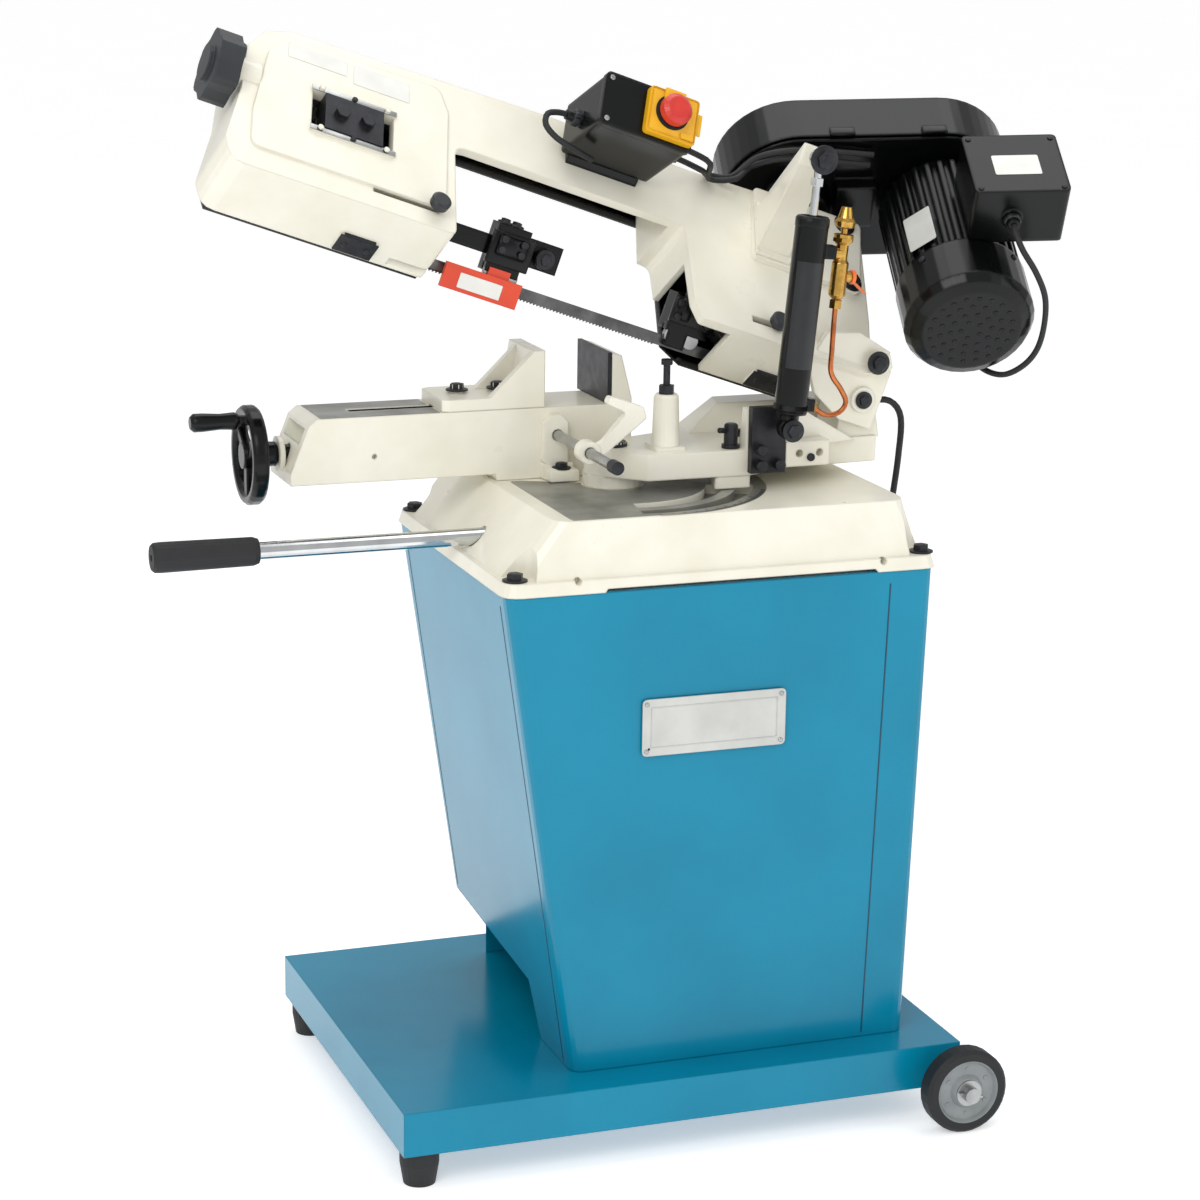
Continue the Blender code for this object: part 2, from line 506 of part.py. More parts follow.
def build_bow():
    outline = [(798, -20), (806, 10), (792, 86), (788, 150), (770, 176), (742, 190), (420, 202), (240, 196),
               (150, 200), (4, 200), (0, 60), (2, -20), (226, -20), (236, 2), (246, 108), (538, 108), (534, -20)]
    radii = [22, 20, 10, 8, 8, 14, 6, 4, 4, 10, 12, 8, 6, 8, 12, 14, 8]
    shell = prism(rounded(mirror_x(outline), radii, 3), "Y", -FACE_W, -REAR_W)
    casting = solid(shell, "head_casting", bow, CREAM)
    left = [(790, -12), (799, 12), (784, 88), (780, 146), (765, 168), (740, 182), (600, 186), (545, 186), (545, -12)]
    cut(casting, bow_prism(left, REAR_W - 2, FACE_W - 9, 6.0))
    right = [(228, 191), (8, 191), (6, 60), (8, -12), (220, -12), (229, 4), (238, 100), (238, 186)]
    cut(casting, bow_prism(right, REAR_W - 2, FACE_W - 9, 6.0))
    cut(casting, bow_prism([(560, 90), (262, 90), (262, 180), (560, 180)], REAR_W - 2, FACE_W - 11))
    cut(casting, bow_prism([(560, 179), (225, 179), (225, 194), (400, 197), (560, 192)], REAR_W - 2, 40))
    cut(casting, bow_prism([(260, -30), (184, -30), (184, 62), (260, 62)], REAR_W - 2, FACE_W - 12))
    cut(casting, head_box_cut(530, 548, -9, 9, 18, 44))
    cut(casting, head_box_cut(520, 582, -18.8, -10.8, -31, 0.3))
    cut(casting, bow_prism([(560, -10), (120, -10), (120, 9), (560, 9)], REAR_W - 2, 12))
    # tension window, guide slots and the pad under the tension block
    cut(casting, bow_prism([(711, 56), (711, 118), (614, 118), (614, 56)], 50, 90, 3.0))
    cut(casting, bow_prism([(634, 2), (634, 11), (556, 11), (556, 2)], 60, 90))
    cut(casting, bow_prism([(160, 0), (160, 9), (124, 9), (124, 0)], 60, 90))
    # raised panel on the wheel housing
    panel = [(778, 8), (778, 60), (764, 150), (736, 176), (560, 182), (548, 150), (548, 8)]
    ring = bow_prism(panel, FACE_W - 2, FACE_W + 3, 12.0)
    join(casting, ring)
    cut(casting, bow_prism([(711, 56), (711, 118), (614, 118), (614, 56)], 70, 92, 3.0))
    # gib bars on both sides of the tension block, each with two screws
    for low, high in ((112.6, 119.0), (55.0, 61.4)):
        join(casting, bow_prism([(712, low), (712, high), (613, high), (613, low)], FACE_W - 9, FACE_W + 6))
        for a in (702, 624):
            join(casting, turned([(0, 3.3), (5, 3.3)], (-a, -(FACE_W + 5.5), (low + high) / 2), (0, -1, 0), 12))
    # bearing boss of the drive wheel
    join(casting, bow_rod(DRIVE_AT, BAND_WHEEL_RADIUS, 12.6, FACE_W - 5, 20.0, 24))
    # boss for the tension screw
    join(casting, rod((-772, -66, 112), (-798, -66, 112), 19.0, 24))
    # pad for the gearbox
    join(casting, bow_prism([(158, 92), (14, 92), (6, 200), (154, 200)], FACE_W - 8, FACE_W + 7, 8.0))
    for a, v in ((30, 190), (26, 104)):
        join(casting, turned([(0, 7.5), (7, 7.5)], (-a, -(FACE_W + 6.5), v), (0, -1, 0), 14))
    # latch plates on the lower wall
    join(casting, box(-647, -602, -22, 2, -23, -18), box(-128, -84, -22, 2, -23, -18))
    # hinge cheeks: plates across the hinge axis on both sides of the ear
    cut(casting, box_head(-48, 60, -53.7, 8.5, -62, 27))
    cheek = [(-23, -30), (-24, 40), (-14, 62), (30, 72), (70, 60), (80, 20), (60, -10), (20, -30)]
    join(casting, head_prism(cheek, -61.0, -53.4))
    join(casting, head_prism([(-23, -24), (-24, 60), (34, 60), (34, 24), (18, -24)], 8.4, 16.0))
    join(casting, head_turned([(0, 15.0), (5.0, 15.0)], 0, -60.5, 0, 24))
    join(casting, head_turned([(0, 14.0), (9.0, 14.0)], -5.5, -60.5, 46.0, 6))


def to_bow(mesh):
    """Move a bmesh given in the hinge frame into the bow frame."""
    turn = Matrix.Rotation(CANT, 4, "X") @ Matrix.Translation((0.0, 0.0, BLADE_DROP))
    bmesh.ops.transform(mesh, matrix=turn, verts=mesh.verts)
    return mesh


def head_box_cut(a_low, a_high, y0, y1, z0, z1):
    return to_bow(box(-a_high, -a_low, y0, y1, z0, z1))


def box_head(a_low, a_high, y0, y1, z0, z1):
    return to_bow(box(-a_high, -a_low, y0, y1, z0, z1))


def head_prism(points, y0, y1):
    return to_bow(prism(mirror_x(points), "Y", y0, y1))


def head_turned(profile, a, y, b, steps):
    return to_bow(turned(profile, (-a, y, b), (0, -1, 0), steps))


def band_wheel(name, at, holes):
    """Flanged band wheel with a hub and round lightening holes."""
    profile = [(-8.0, 80.0), (-8.0, BAND_WHEEL_RADIUS), (8.0, BAND_WHEEL_RADIUS), (8.0, 80.0), (3.0, 77.0),
               (3.0, 26.0), (12.0, 24.0), (12.0, 8.0), (-7.5, 8.0), (-7.5, 24.0), (-3.0, 26.0), (-3.0, 77.0)]
    centre = (-at, 0.0, BAND_WHEEL_RADIUS)
    wheel = solid(ring_turned(profile, centre, (0, -1, 0), 48), name, bow, STEEL, centre)
    for step in range(holes):
        angle = 2 * math.pi * step / holes
        x = -at + 52 * math.cos(angle)
        z = BAND_WHEEL_RADIUS + 52 * math.sin(angle)
        cut(wheel, rod((x, -6, z), (x, 6, z), 12.0, 12))
    return wheel


def band_path():
    """Points and width directions round the loop, in the bow frame."""
    radius = BAND_WHEEL_RADIUS + 1.0 + BLADE_THICKNESS / 2
    stations = []
    centre = BAND_WHEEL_RADIUS
    low = centre - radius
    for step in range(17):
        angle = -math.pi / 2 + math.pi * step / 16
        stations.append((-DRIVE_AT + radius * math.cos(angle), centre + radius * math.sin(angle), 0.0, angle))
    for step in range(17):
        angle = math.pi / 2 + math.pi * step / 16
        stations.append((-IDLER_AT + radius * math.cos(angle), centre + radius * math.sin(angle), 0.0, angle))
    for a, twist in ((650, 0), (610, 9), (570, 18), (530, 27), (490, 38), (460, 45), (400, 45), (330, 45),
                     (260, 45), (200, 45), (180, 38), (160, 26), (140, 12), (122, 2)):
        stations.append((-a, low, math.radians(twist), None))
    return stations


def build_band():
    mesh = bmesh.new()
    half_width = BLADE_WIDTH / 2
    half_thick = BLADE_THICKNESS / 2
    rings = []
    for x, z, twist, angle in band_path():
        centre = Vector((x, 0.0, z))
        out = Vector((0, 0, -1)) if angle is None else Vector((math.cos(angle), 0, math.sin(angle)))
        wide = Vector((0, -1, 0))
        if twist:
            turn = Matrix.Rotation(-twist, 3, "X")
            out = turn @ out
            wide = turn @ wide
        ring = [centre + wide * sx * half_width + out * sz * half_thick
                for sx, sz in ((-1, -1), (1, -1), (1, 1), (-1, 1))]
        rings.append([mesh.verts.new(place) for place in ring])
    count = len(rings)
    for index in range(count):
        lower = rings[index]
        upper = rings[(index + 1) % count]
        for corner in range(4):
            after = (corner + 1) % 4
            mesh.faces.new((lower[corner], lower[after], upper[after], upper[corner]))
    bmesh.ops.triangulate(mesh, faces=mesh.faces[:])
    solid(mesh, "saw_band", bow, STEEL)


def build_band_parts():
    band_wheel("drive_band_wheel", DRIVE_AT, 5)
    band_wheel("idler_band_wheel", IDLER_AT, 5)
    build_band()
    # sliding tension block with the idler's stub axle
    block = solid(bow_prism([(697, 62), (697, 112), (628, 112), (628, 62)], 58, 84), "tension_block", bow, OXIDE, (-664, -66, 87))
    join(block, bow_rod(IDLER_AT, BAND_WHEEL_RADIUS, 12.6, 60, 16.0, 24))
    for a in (678, 648):
        join(block, turned([(0, 8.5), (7, 8.5)], (-a, -83.5, 88), (0, -1, 0), 6))
    knob = []
    for step in range(36):
        angle = 2 * math.pi * step / 36
        radius = 38.0 + 3.2 * math.cos(6 * angle)
        knob.append((-66 + radius * math.cos(angle), 112 + radius * math.sin(angle)))
    handle = solid(prism(knob, "X", -828.0, -800.0), "tension_knob", bow, GREY, (-798.5, -66, 112))
    join(handle, rod((-827, -66, 112), (-833, -66, 112), 20.0, 24), rod((-801, -66, 112), (-798.4, -66, 112), 14.0, 24))
    # sheet covers behind the wheels and the return run: the left one opens, the right one is screwed on
    outer = [(792, -14), (800, 12), (786, 86), (781, 148), (765, 169), (741, 184), (420, 198), (252, 193),
             (252, 172), (542, 172), (539, -14)]
    inner = [(790, -12), (798, 12), (784, 86), (779, 147), (764, 167), (740, 182), (420, 196), (254, 191),
             (254, 174), (544, 174), (541, -12)]
    cover = solid(bow_prism(outer, COVER_BACK_W, REAR_W - 0.4), "band_cover", bow, BLACK, (-400, -REAR_W, 200))
    cut(cover, bow_prism(inner, COVER_BACK_W + 1.6, REAR_W + 1))
    cut(cover, bow_prism([(560, -10), (500, -10), (500, 9), (560, 9)], COVER_BACK_W + 3, REAR_W + 2))
    outer = [(250, 193), (12, 194), (6, 188), (4, 66), (66, 66), (68, -14), (205, -14), (230, 4),
             (240, 172), (250, 172)]
    inner = [(248, 191), (14, 192), (8, 187), (6, 68), (68, 68), (70, -12), (204, -12), (228, 5),
             (238, 174), (248, 174)]
    cover = solid(bow_prism(outer, COVER_BACK_W, REAR_W - 0.4), "drive_wheel_cover", bow, BLACK)
    cut(cover, bow_prism(inner, COVER_BACK_W + 1.6, REAR_W + 1))
    cut(cover, bow_prism([(250, -10), (190, -10), (190, 9), (250, 9)], COVER_BACK_W + 3, REAR_W + 2))


def build_guides():
    # left guide: slides on the housing, carries the roller block and red guard
    guide = solid(head_box(-470, -430, -10.0, 16.0, 2, 58), "left_guide", head, BLACK, (-450, 0, 30))
    join(guide, head_prism_flat([(552, 20), (552, 42), (440, 42), (440, 20)], -8.0, 8.0))
    join(guide, head_box(-433, -384, 3.0, 16.0, 20, 52))
    join(guide, rod((-405, 4, 34), (-405, -9, 34), 12.0, 20))
    cut(guide, head_box(-475, -380, -1.6, 1.6, -20, 12))
    guard = solid(head_box(-517, -424, -17.6, -12.0, -29.5, -1.0), "left_guide_guard", head, RED)
    join(guard, head_box(-466, -440, -13.0, -10.3, -6.0, 8.0))
    right = solid(head_box(-240, -188, -11.0, 16.0, 4, 48), "right_guide", head, BLACK, (-214, 0, 26))
    join(right, head_box(-236, -212, -11.0, -3.0, -14, 6))
    join(right, rod((-225, -3, 28), (-225, -14, 28), 10.0, 20))
    join(right, head_prism_flat([(192, 22), (192, 40), (158, 40), (158, 22)], -7.0, 7.0))
    cut(right, head_box(-245, -183, -1.6, 1.6, -20, 10))
    for name, a, v in (("left_guide_knob", 560.0, 6.5), ("right_guide_knob", 129.6, 4.5)):
        profile = [(0.0, 6.0), (5.0, 6.0), (5.0, 11.0), (13.0, 11.5), (15.0, 9.0)]
        seat = (-a, -(FACE_W + (3.3 if a > 300 else 0.3)), v)
        solid(turned(profile, seat, (0, -1, 0), 24), name, bow, GREY, seat)


def head_box(x0, x1, y0, y1, z0, z1):
    return box(x0, x1, y0, y1, z0, z1)


def head_prism_flat(points, y0, y1):
    return prism(mirror_x(points), "Y", y0, y1)


build_bow()
build_band_parts()
build_guides()


# ---------------------------------------------------------------- drive unit
def obround(radius, spacing, steps=22):
    """Outline round two pulley centres."""
    points = []
    for step in range(steps + 1):
        angle = math.pi / 2 + math.pi * step / steps
        points.append((radius * math.cos(angle), radius * math.sin(angle)))
    for step in range(steps + 1):
        angle = -math.pi / 2 + math.pi * step / steps
        points.append((spacing + radius * math.cos(angle), radius * math.sin(angle)))
    return points


def build_drive():
    near = solid(prism(obround(COVER_RADIUS - 3, PULLEY_SPACING), "Y", 0.0, 4.0), "belt_guard_plate", drive, BLACK)
    cut(near, rod((0, -5, 0), (0, 10, 0), 12.0, 20), rod((PULLEY_SPACING, -5, 0), (PULLEY_SPACING, 10, 0), 11.0, 20))
    join(near, ring_turned([(0, 34.0), (26.5, 40.0), (26.5, 14.0), (0, 14.0)], (0, -26.0, 0), (0, 1, 0), 28))
    cover = solid(prism(obround(COVER_RADIUS, PULLEY_SPACING), "Y", 4.3, COVER_DEPTH - 6, obround(COVER_RADIUS, PULLEY_SPACING)),
                  "belt_cover", drive, BLACK, (0, 4.3, 0))
    join(cover, prism(obround(COVER_RADIUS, PULLEY_SPACING), "Y", COVER_DEPTH - 7, COVER_DEPTH, obround(COVER_RADIUS - 7, PULLEY_SPACING)))
    cut(cover, prism(obround(COVER_RADIUS - 2.5, PULLEY_SPACING), "Y", 0.0, COVER_DEPTH - 9))
    for x in (34.0, PULLEY_SPACING - 24.0):
        join(cover, box(x, x + 22, 5, 16, COVER_RADIUS - 1.5, COVER_RADIUS + 2.5))
    for name, x, radius in (("driven_pulley", 0.0, 58.0), ("motor_pulley", PULLEY_SPACING, 26.0)):
        profile = [(-9.0, 8.0), (-9.0, radius), (-6.0, radius), (0.0, radius - 7), (6.0, radius), (9.0, radius), (9.0, 8.0)]
        wheel = solid(ring_turned(profile, (x, 30, 0), (0, 1, 0), 32), name, drive, STEEL, (x, 30, 0))
        join(wheel, turned([(0, 8.5), (50.0, 8.5)], (x, -8.0, 0), (0, 1, 0), 20))
    belt = []
    for radius in (0.0, 4.5):
        small, large = 22.0 + radius, 54.0 + radius
        slope = math.asin((large - small) / PULLEY_SPACING)
        line = []
        for step in range(17):
            angle = math.pi / 2 - slope + (math.pi + 2 * slope) * step / 16
            line.append((large * math.cos(angle), large * math.sin(angle)))
        for step in range(13):
            angle = -math.pi / 2 + slope + (math.pi - 2 * slope) * step / 12
            line.append((PULLEY_SPACING + small * math.cos(angle), small * math.sin(angle)))
        belt.append(line)
    band = solid(prism(belt[1], "Y", 28.0, 32.0), "drive_belt", drive, RUBBER)
    cut(band, prism(belt[0], "Y", 20.0, 40.0))
    # motor
    centre = PULLEY_SPACING
    fins = []
    count = 30
    for step in range(count):
        for part, radius in ((0.0, MOTOR_RADIUS), (0.35, MOTOR_RADIUS), (0.5, MOTOR_RADIUS - 7), (0.85, MOTOR_RADIUS - 7)):
            angle = 2 * math.pi * (step + part) / count
            fins.append((centre + radius * math.cos(angle), radius * math.sin(angle)))
    motor = solid(prism(fins, "Y", -166.0, -22.0), "motor", drive, BLACK)
    join(motor, turned([(0, 63.0), (18, 63.0), (22, 50.0), (27.7, 50.0)], (centre, -28.0, 0), (0, 1, 0), 36))
    cut(motor, rod((centre, -10, 0), (centre, 6, 0), 10.0, 20))
    shroud = solid(turned([(0, 58.0), (6, 70.0), (16, 76.0), (74, 76.0)], (centre, -MOTOR_LENGTH, 0), (0, 1, 0), 40),
                   "fan_cover", drive, BLACK)
    cut(shroud, turned([(0, 55.0), (10, 72.5), (70, 73.0)], (centre, -MOTOR_LENGTH + 6, 0), (0, 1, 0), 36))
    terminal = solid(prism(rounded([(168, -170), (278, -170), (278, -69), (168, -69)], 6.0, 3), "Z", 72.0, 146.0),
                     "terminal_box", drive, BLACK)
    cut(terminal, turned([(0, MOTOR_RADIUS + 2.6), (260, MOTOR_RADIUS + 2.6)], (centre, -250.0, 0), (0, 1, 0), 48))
    join(terminal, turned([(0, 11.0), (8, 11.0), (8, 8.5), (16, 7.0)], (214, -169.0, 108), (0, -1, 0), 20))
    join(near, box(44, 90, -18, 1, -30, 30))


def build_feed():
    foot = Vector(CYLINDER_FOOT)
    top = Vector(CYLINDER_TOP)
    axis = (top - foot).normalized()
    span = (top - foot).length
    tilt = math.atan2(axis.x, axis.z)
    frame = empty("cylinder_pivot", (foot.x - PIVOT[0], foot.y - PIVOT[1], foot.z - BASE_TOP_Z), (0.0, tilt, 0.0), parent=swivel)
    body = solid(ring_turned([(-5, 5.4), (-5, 12.0), (5, 12.0), (5, 5.4)], (0, 0, 0), (0, 1, 0), 24), "feed_cylinder", frame, BLACK)
    join(body, turned([(10.0, 11.0), (16.0, 11.0), (18.0, CYLINDER_RADIUS), (238.0, CYLINDER_RADIUS), (240.0, 17.0)],
                      (0, 0, 0), (0, 0, 1), 32))
    cut(body, rod((0, 0, 26), (0, 0, 250), 14.0, 24))
    join(body, box(15, 26, -8, 8, 22, 36), box(15, 30, -9, 9, 194, 209))
    valve = solid(turned([(0, 6.0), (4, 9.5), (40, 9.5), (44, 7.0), (60, 7.0), (64, 11.0), (72, 11.0)], (40, 0, 150), (0, 0, 1), 20),
                  "flow_valve", frame, BRASS)
    join(valve, rod((30.4, 0, 200), (42, 0, 200), 7.5, 16), rod((40, 0, 175), (54, 0, 175), 6.0, 16))
    knob = solid(turned([(0, 4.0), (6, 4.0), (8, 11.0), (14, 12.0), (18, 9.0), (30, 6.0)], (40, 0, 222.5), (0, 0, 1), 20),
                 "flow_knob", frame, BRASS, (40, 0, 222.5))
    lever = solid(turned([(0, 8.0), (4, 8.0)], (54.4, 0, 175), (1, 0, 0), 16), "shutoff_lever", frame, RED, (54.4, 0, 175))
    join(lever, hull([(55, -4, 171), (58, -4, 171), (55, 4, 171), (58, 4, 171), (72, -4, 158), (75, -4, 158), (72, 4, 158), (75, 4, 158)]))
    # rod and its eye, hinged on the head
    hub = (-181.6, -126.0, 239.0)
    rod_frame = empty("rod_pivot", hub, (0.0, tilt - HEAD_ANGLE, 0.0), parent=head)
    ram = solid(ring_turned([(-5, 5.4), (-5, 11.0), (5, 11.0), (5, 5.4)], (0, 0, 0), (0, 1, 0), 24), "feed_rod", rod_frame, CHROME)
    join(ram, rod((0, 0, -223), (0, 0, -9), 4.75, 20), hex_bolt((0, 0, -30), (0, 0, 1), 8.0, 9.0))
    # bracket on the casting that holds the rod's pin
    arm = solid(to_head(bow_prism([(156, 96), (112, 96), (112, 170), (156, 170)], FACE_W + 7.3, FACE_W + 16)), "rod_bracket", head, CREAM)
    base = [(-156, 100), (-116, 100), (-116, 160), (-156, 160)]
    corners = []
    for x, v in base:
        for w in (FACE_W + 10, FACE_W + 16):
            corners.append(from_bow((x, -w, v)))
    for dx, dz in ((-14, -12), (14, -12), (14, 12), (-14, 12)):
        for y in (-112.0, -104.0):
            corners.append((hub[0] + dx, y, hub[2] + dz))
    join(arm, hull(corners))
    join(arm, rod((hub[0], -106, hub[2]), (hub[0], -134, hub[2]), 5.0, 16))
    join(arm, hex_bolt((hub[0], -132.4, hub[2]), (0, -1, 0), 9.0, 6.0))


def from_bow(place):
    """Point of the bow frame in the hinge frame."""
    turn = Matrix.Translation((0.0, 0.0, -BLADE_DROP)) @ Matrix.Rotation(-CANT, 4, "X")
    return tuple(turn @ Vector(place))


def to_head(mesh):
    turn = Matrix.Translation((0.0, 0.0, -BLADE_DROP)) @ Matrix.Rotation(-CANT, 4, "X")
    bmesh.ops.transform(mesh, matrix=turn, verts=mesh.verts)
    return mesh


def build_switch():
    case = solid(prism(rounded([(-56, 0), (56, 0), (56, 62), (-56, 62)], 5.0, 3), "Y", 9.3, 100.0), "switch_box", switch, BLACK)
    join(case, turned([(0, 9.0), (9, 9.0), (9, 7.0), (18, 6.0)], (-55.5, 60, 26), (-1, 0, 0), 18))
    for y in (40, 66):
        join(case, turned([(0, 9.0), (9, 9.0), (9, 7.0), (16, 6.0)], (55.5, y, 24), (1, 0, 0), 18))
    join(case, prism(rounded([(-57, -1), (57, -1), (57, 63), (-57, 63)], 6.0, 3), "Y", 0.0, 9.5))
    plate = solid(prism(rounded([(-6, 4), (56, 4), (56, 60), (-6, 60)], 5.0, 3), "Y", -9.0, -GAP), "switch_plate", switch, YELLOW)
    cut(plate, rod((23, -12, 34), (23, 1, 34), 11.0, 20))
    red = solid(turned([(0, 9.0), (9, 9.0), (11, 18.0), (20, 18.0), (24, 13.0)], (23, -4.4, 34), (0, -1, 0), 28),
                "stop_button", switch, RED, (23, -4.4, 34))
    join(plate, prism(rounded([(36, 7), (52, 7), (52, 14), (36, 14)], 2.0, 2), "Y", -13.0, -8.0))
    # seat between the box and the arm of the casting
    seat = [from_bow((x, -(FACE_W + 0.4), v)) for x in (-400, -310) for v in (140, 190)]
    tall = [switch_point(x, 100.4, z) for x in (-45, 45) for z in (3, 40)]
    solid(hull(seat + tall), "switch_seat", head, BLACK)


def switch_point(x, y, z):
    """Point of the switch frame in the hinge frame."""
    turn = Matrix.Translation((-355.0, -48.7, 198.8)) @ Matrix.Rotation(math.radians(-27.0), 4, "X")
    return tuple(turn @ Vector((x, y, z)))


build_drive()
build_feed()
build_switch()


def build_cord():
    """Mains lead: out of the swivel arm, down the side and back to a coil behind the stand."""
    marks = [(655.6, 325.0, 780.0), (668, 325.0, 780.4), (692, 326, 788), (715, 328, 786), (724, 329, 760), (722, 331, 700), (712, 334, 600),
             (704, 338, 450), (704, 344, 300), (712, 368, 150), (728, 420, 50), (740, 480, 10), (744, 540, 4.4),
             (722, 594, 4.4), (660, 616, 4.4), (560, 610, 4.4), (466, 594, 4.4)]
    points = []
    for index in range(len(marks) - 1):
        before = Vector(marks[max(index - 1, 0)])
        start = Vector(marks[index])
        end = Vector(marks[index + 1])
        after = Vector(marks[min(index + 2, len(marks) - 1)])
        pieces = max(2, round((end - start).length / 26.0))
        for step in range(pieces):
            t = step / pieces
            spot = 0.5 * ((2 * start) + (end - before) * t + (2 * before - 5 * start + 4 * end - after) * t * t
                          + (3 * start - before - 3 * end + after) * t ** 3)
            points.append(spot)
    points.append(Vector(marks[-1]))
    curve = bpy.data.curves.new("mains_cord", "CURVE")
    curve.dimensions = "3D"
    curve.bevel_depth = 4.0 * MM
    curve.bevel_resolution = 2
    curve.use_fill_caps = True
    spline = curve.splines.new("POLY")
    spline.points.add(len(points) - 1)
    for spot, place in zip(spline.points, points):
        spot.co = (*(place * MM), 1.0)
    curve.materials.append(RUBBER)
    lead = bpy.data.objects.new("mains_cord", curve)
    lead.parent = stand
    bpy.context.scene.collection.objects.link(lead)
    ring = [(0.2, 36.0), (0.2, 52.0), (8.0, 55.0), (16.0, 52.0), (16.0, 36.0), (8.0, 33.0)]
    solid(ring_turned(ring, (400.0, 590.0, 0.0), (0, 0, 1), 32), "cord_coil", stand, RUBBER)
    plug = solid(turned([(0, 6.0), (10, 13.0), (30, 18.0), (44, 18.0)], (330.0, 570.0, 18.3), (-1, -0.4, 0), 20), "mains_plug", stand, RUBBER)
    for dy in (-6.0, 6.0):
        join(plug, rod((289.5 + dy * 0.4, 553 - dy, 18.3), (272 + dy * 0.4, 546 - dy, 18.3), 2.4, 10))


build_cord()
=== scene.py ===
"""Looks of the mitring band saw: finishes, trim, cables, floor, light and camera.

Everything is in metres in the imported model's frame: +X to the operator's
right, +Y away from the operator, +Z up, origin on the floor. Meshes are drawn
in millimetres in the frame of the sub-assembly they belong to.
"""

import json
import logging
import math
from collections.abc import Sequence
from dataclasses import dataclass
from enum import Enum

import bmesh
import bpy
from mathutils import Matrix, Vector

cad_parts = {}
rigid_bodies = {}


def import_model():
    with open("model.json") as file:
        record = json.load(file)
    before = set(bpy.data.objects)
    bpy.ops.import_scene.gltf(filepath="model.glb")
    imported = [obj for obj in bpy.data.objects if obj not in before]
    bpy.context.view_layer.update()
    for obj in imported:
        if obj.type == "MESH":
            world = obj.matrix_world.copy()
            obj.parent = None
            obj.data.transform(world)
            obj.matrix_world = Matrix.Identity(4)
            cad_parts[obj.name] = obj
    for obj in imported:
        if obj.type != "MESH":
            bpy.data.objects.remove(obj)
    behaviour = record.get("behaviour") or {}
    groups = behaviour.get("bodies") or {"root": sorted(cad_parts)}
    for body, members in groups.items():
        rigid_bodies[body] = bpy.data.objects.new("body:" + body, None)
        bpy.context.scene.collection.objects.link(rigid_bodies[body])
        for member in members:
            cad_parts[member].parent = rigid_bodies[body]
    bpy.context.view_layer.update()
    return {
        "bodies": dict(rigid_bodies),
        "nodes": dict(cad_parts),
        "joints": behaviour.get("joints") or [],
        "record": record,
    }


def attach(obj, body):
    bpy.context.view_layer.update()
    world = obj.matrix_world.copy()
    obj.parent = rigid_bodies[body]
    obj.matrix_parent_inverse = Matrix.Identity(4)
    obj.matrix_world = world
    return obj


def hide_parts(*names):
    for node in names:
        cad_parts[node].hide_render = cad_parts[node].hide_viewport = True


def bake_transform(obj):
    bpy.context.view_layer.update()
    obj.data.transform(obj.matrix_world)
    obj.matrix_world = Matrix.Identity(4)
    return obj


logging.basicConfig(level=logging.INFO, format="%(message)s")
LOG = logging.getLogger("band_saw")

Mesh = bmesh.types.BMesh
Point = Sequence[float]
Profile = Sequence[tuple[float, float]]

MM = 0.001
ORIGIN = Vector((327.9, 256.0, 0.0))
PIVOT = (320.5, 241.5)
AXLE = (659.0, 50.0)
BASE_TOP_Z = 723.5
HINGE = Vector((613.5, 267.0, 812.8))
HEAD_ANGLE = math.radians(19.49)
CANT = math.radians(45.0)
BLADE_DROP = 9.0
FACE_W = 76.0
FRAME_MATRIX = Matrix.Translation(-ORIGIN)
HEAD_MATRIX = FRAME_MATRIX @ Matrix.Translation(HINGE) @ Matrix.Rotation(HEAD_ANGLE, 4, "Y")
BOW_MATRIX = HEAD_MATRIX @ Matrix.Translation((0.0, 0.0, -BLADE_DROP)) @ Matrix.Rotation(-CANT, 4, "X")
DRIVE_MATRIX = (
    HEAD_MATRIX
    @ Matrix.Translation((-77.8, 123.8, 194.6))
    @ Matrix.Rotation(math.radians(35.0), 4, "X")
    @ Matrix.Rotation(math.radians(-25.0), 4, "Y")
)
SWITCH_MATRIX = (
    HEAD_MATRIX @ Matrix.Translation((-355.0, -48.7, 198.8)) @ Matrix.Rotation(math.radians(-27.0), 4, "X")
)


class Body(str, Enum):
    """CAD bodies that the added pieces ride on."""

    BASE = "base"
    FRONT_WHEEL = "front_wheel"
    REAR_WHEEL = "rear_wheel"
    SWIVEL = "swivel"
    HEAD = "head"
    CYLINDER = "cylinder"
    LEFT_GUIDE = "left_guide"
    RIGHT_GUIDE = "right_guide"
    JAW = "moving_jaw"


def linear(hexcode: str) -> tuple[float, ...]:
    """Turn an sRGB hex colour into linear RGBA.

    Args:
        hexcode: colour such as "#E6E1CC".

    Returns:
        Four floats for a shader socket.
    """
    code = hexcode.lstrip("#")
    channels = [int(code[i : i + 2], 16) / 255.0 for i in (0, 2, 4)]
    flat = [c / 12.92 if c <= 0.04045 else ((c + 0.055) / 1.055) ** 2.4 for c in channels]
    return (*flat, 1.0)


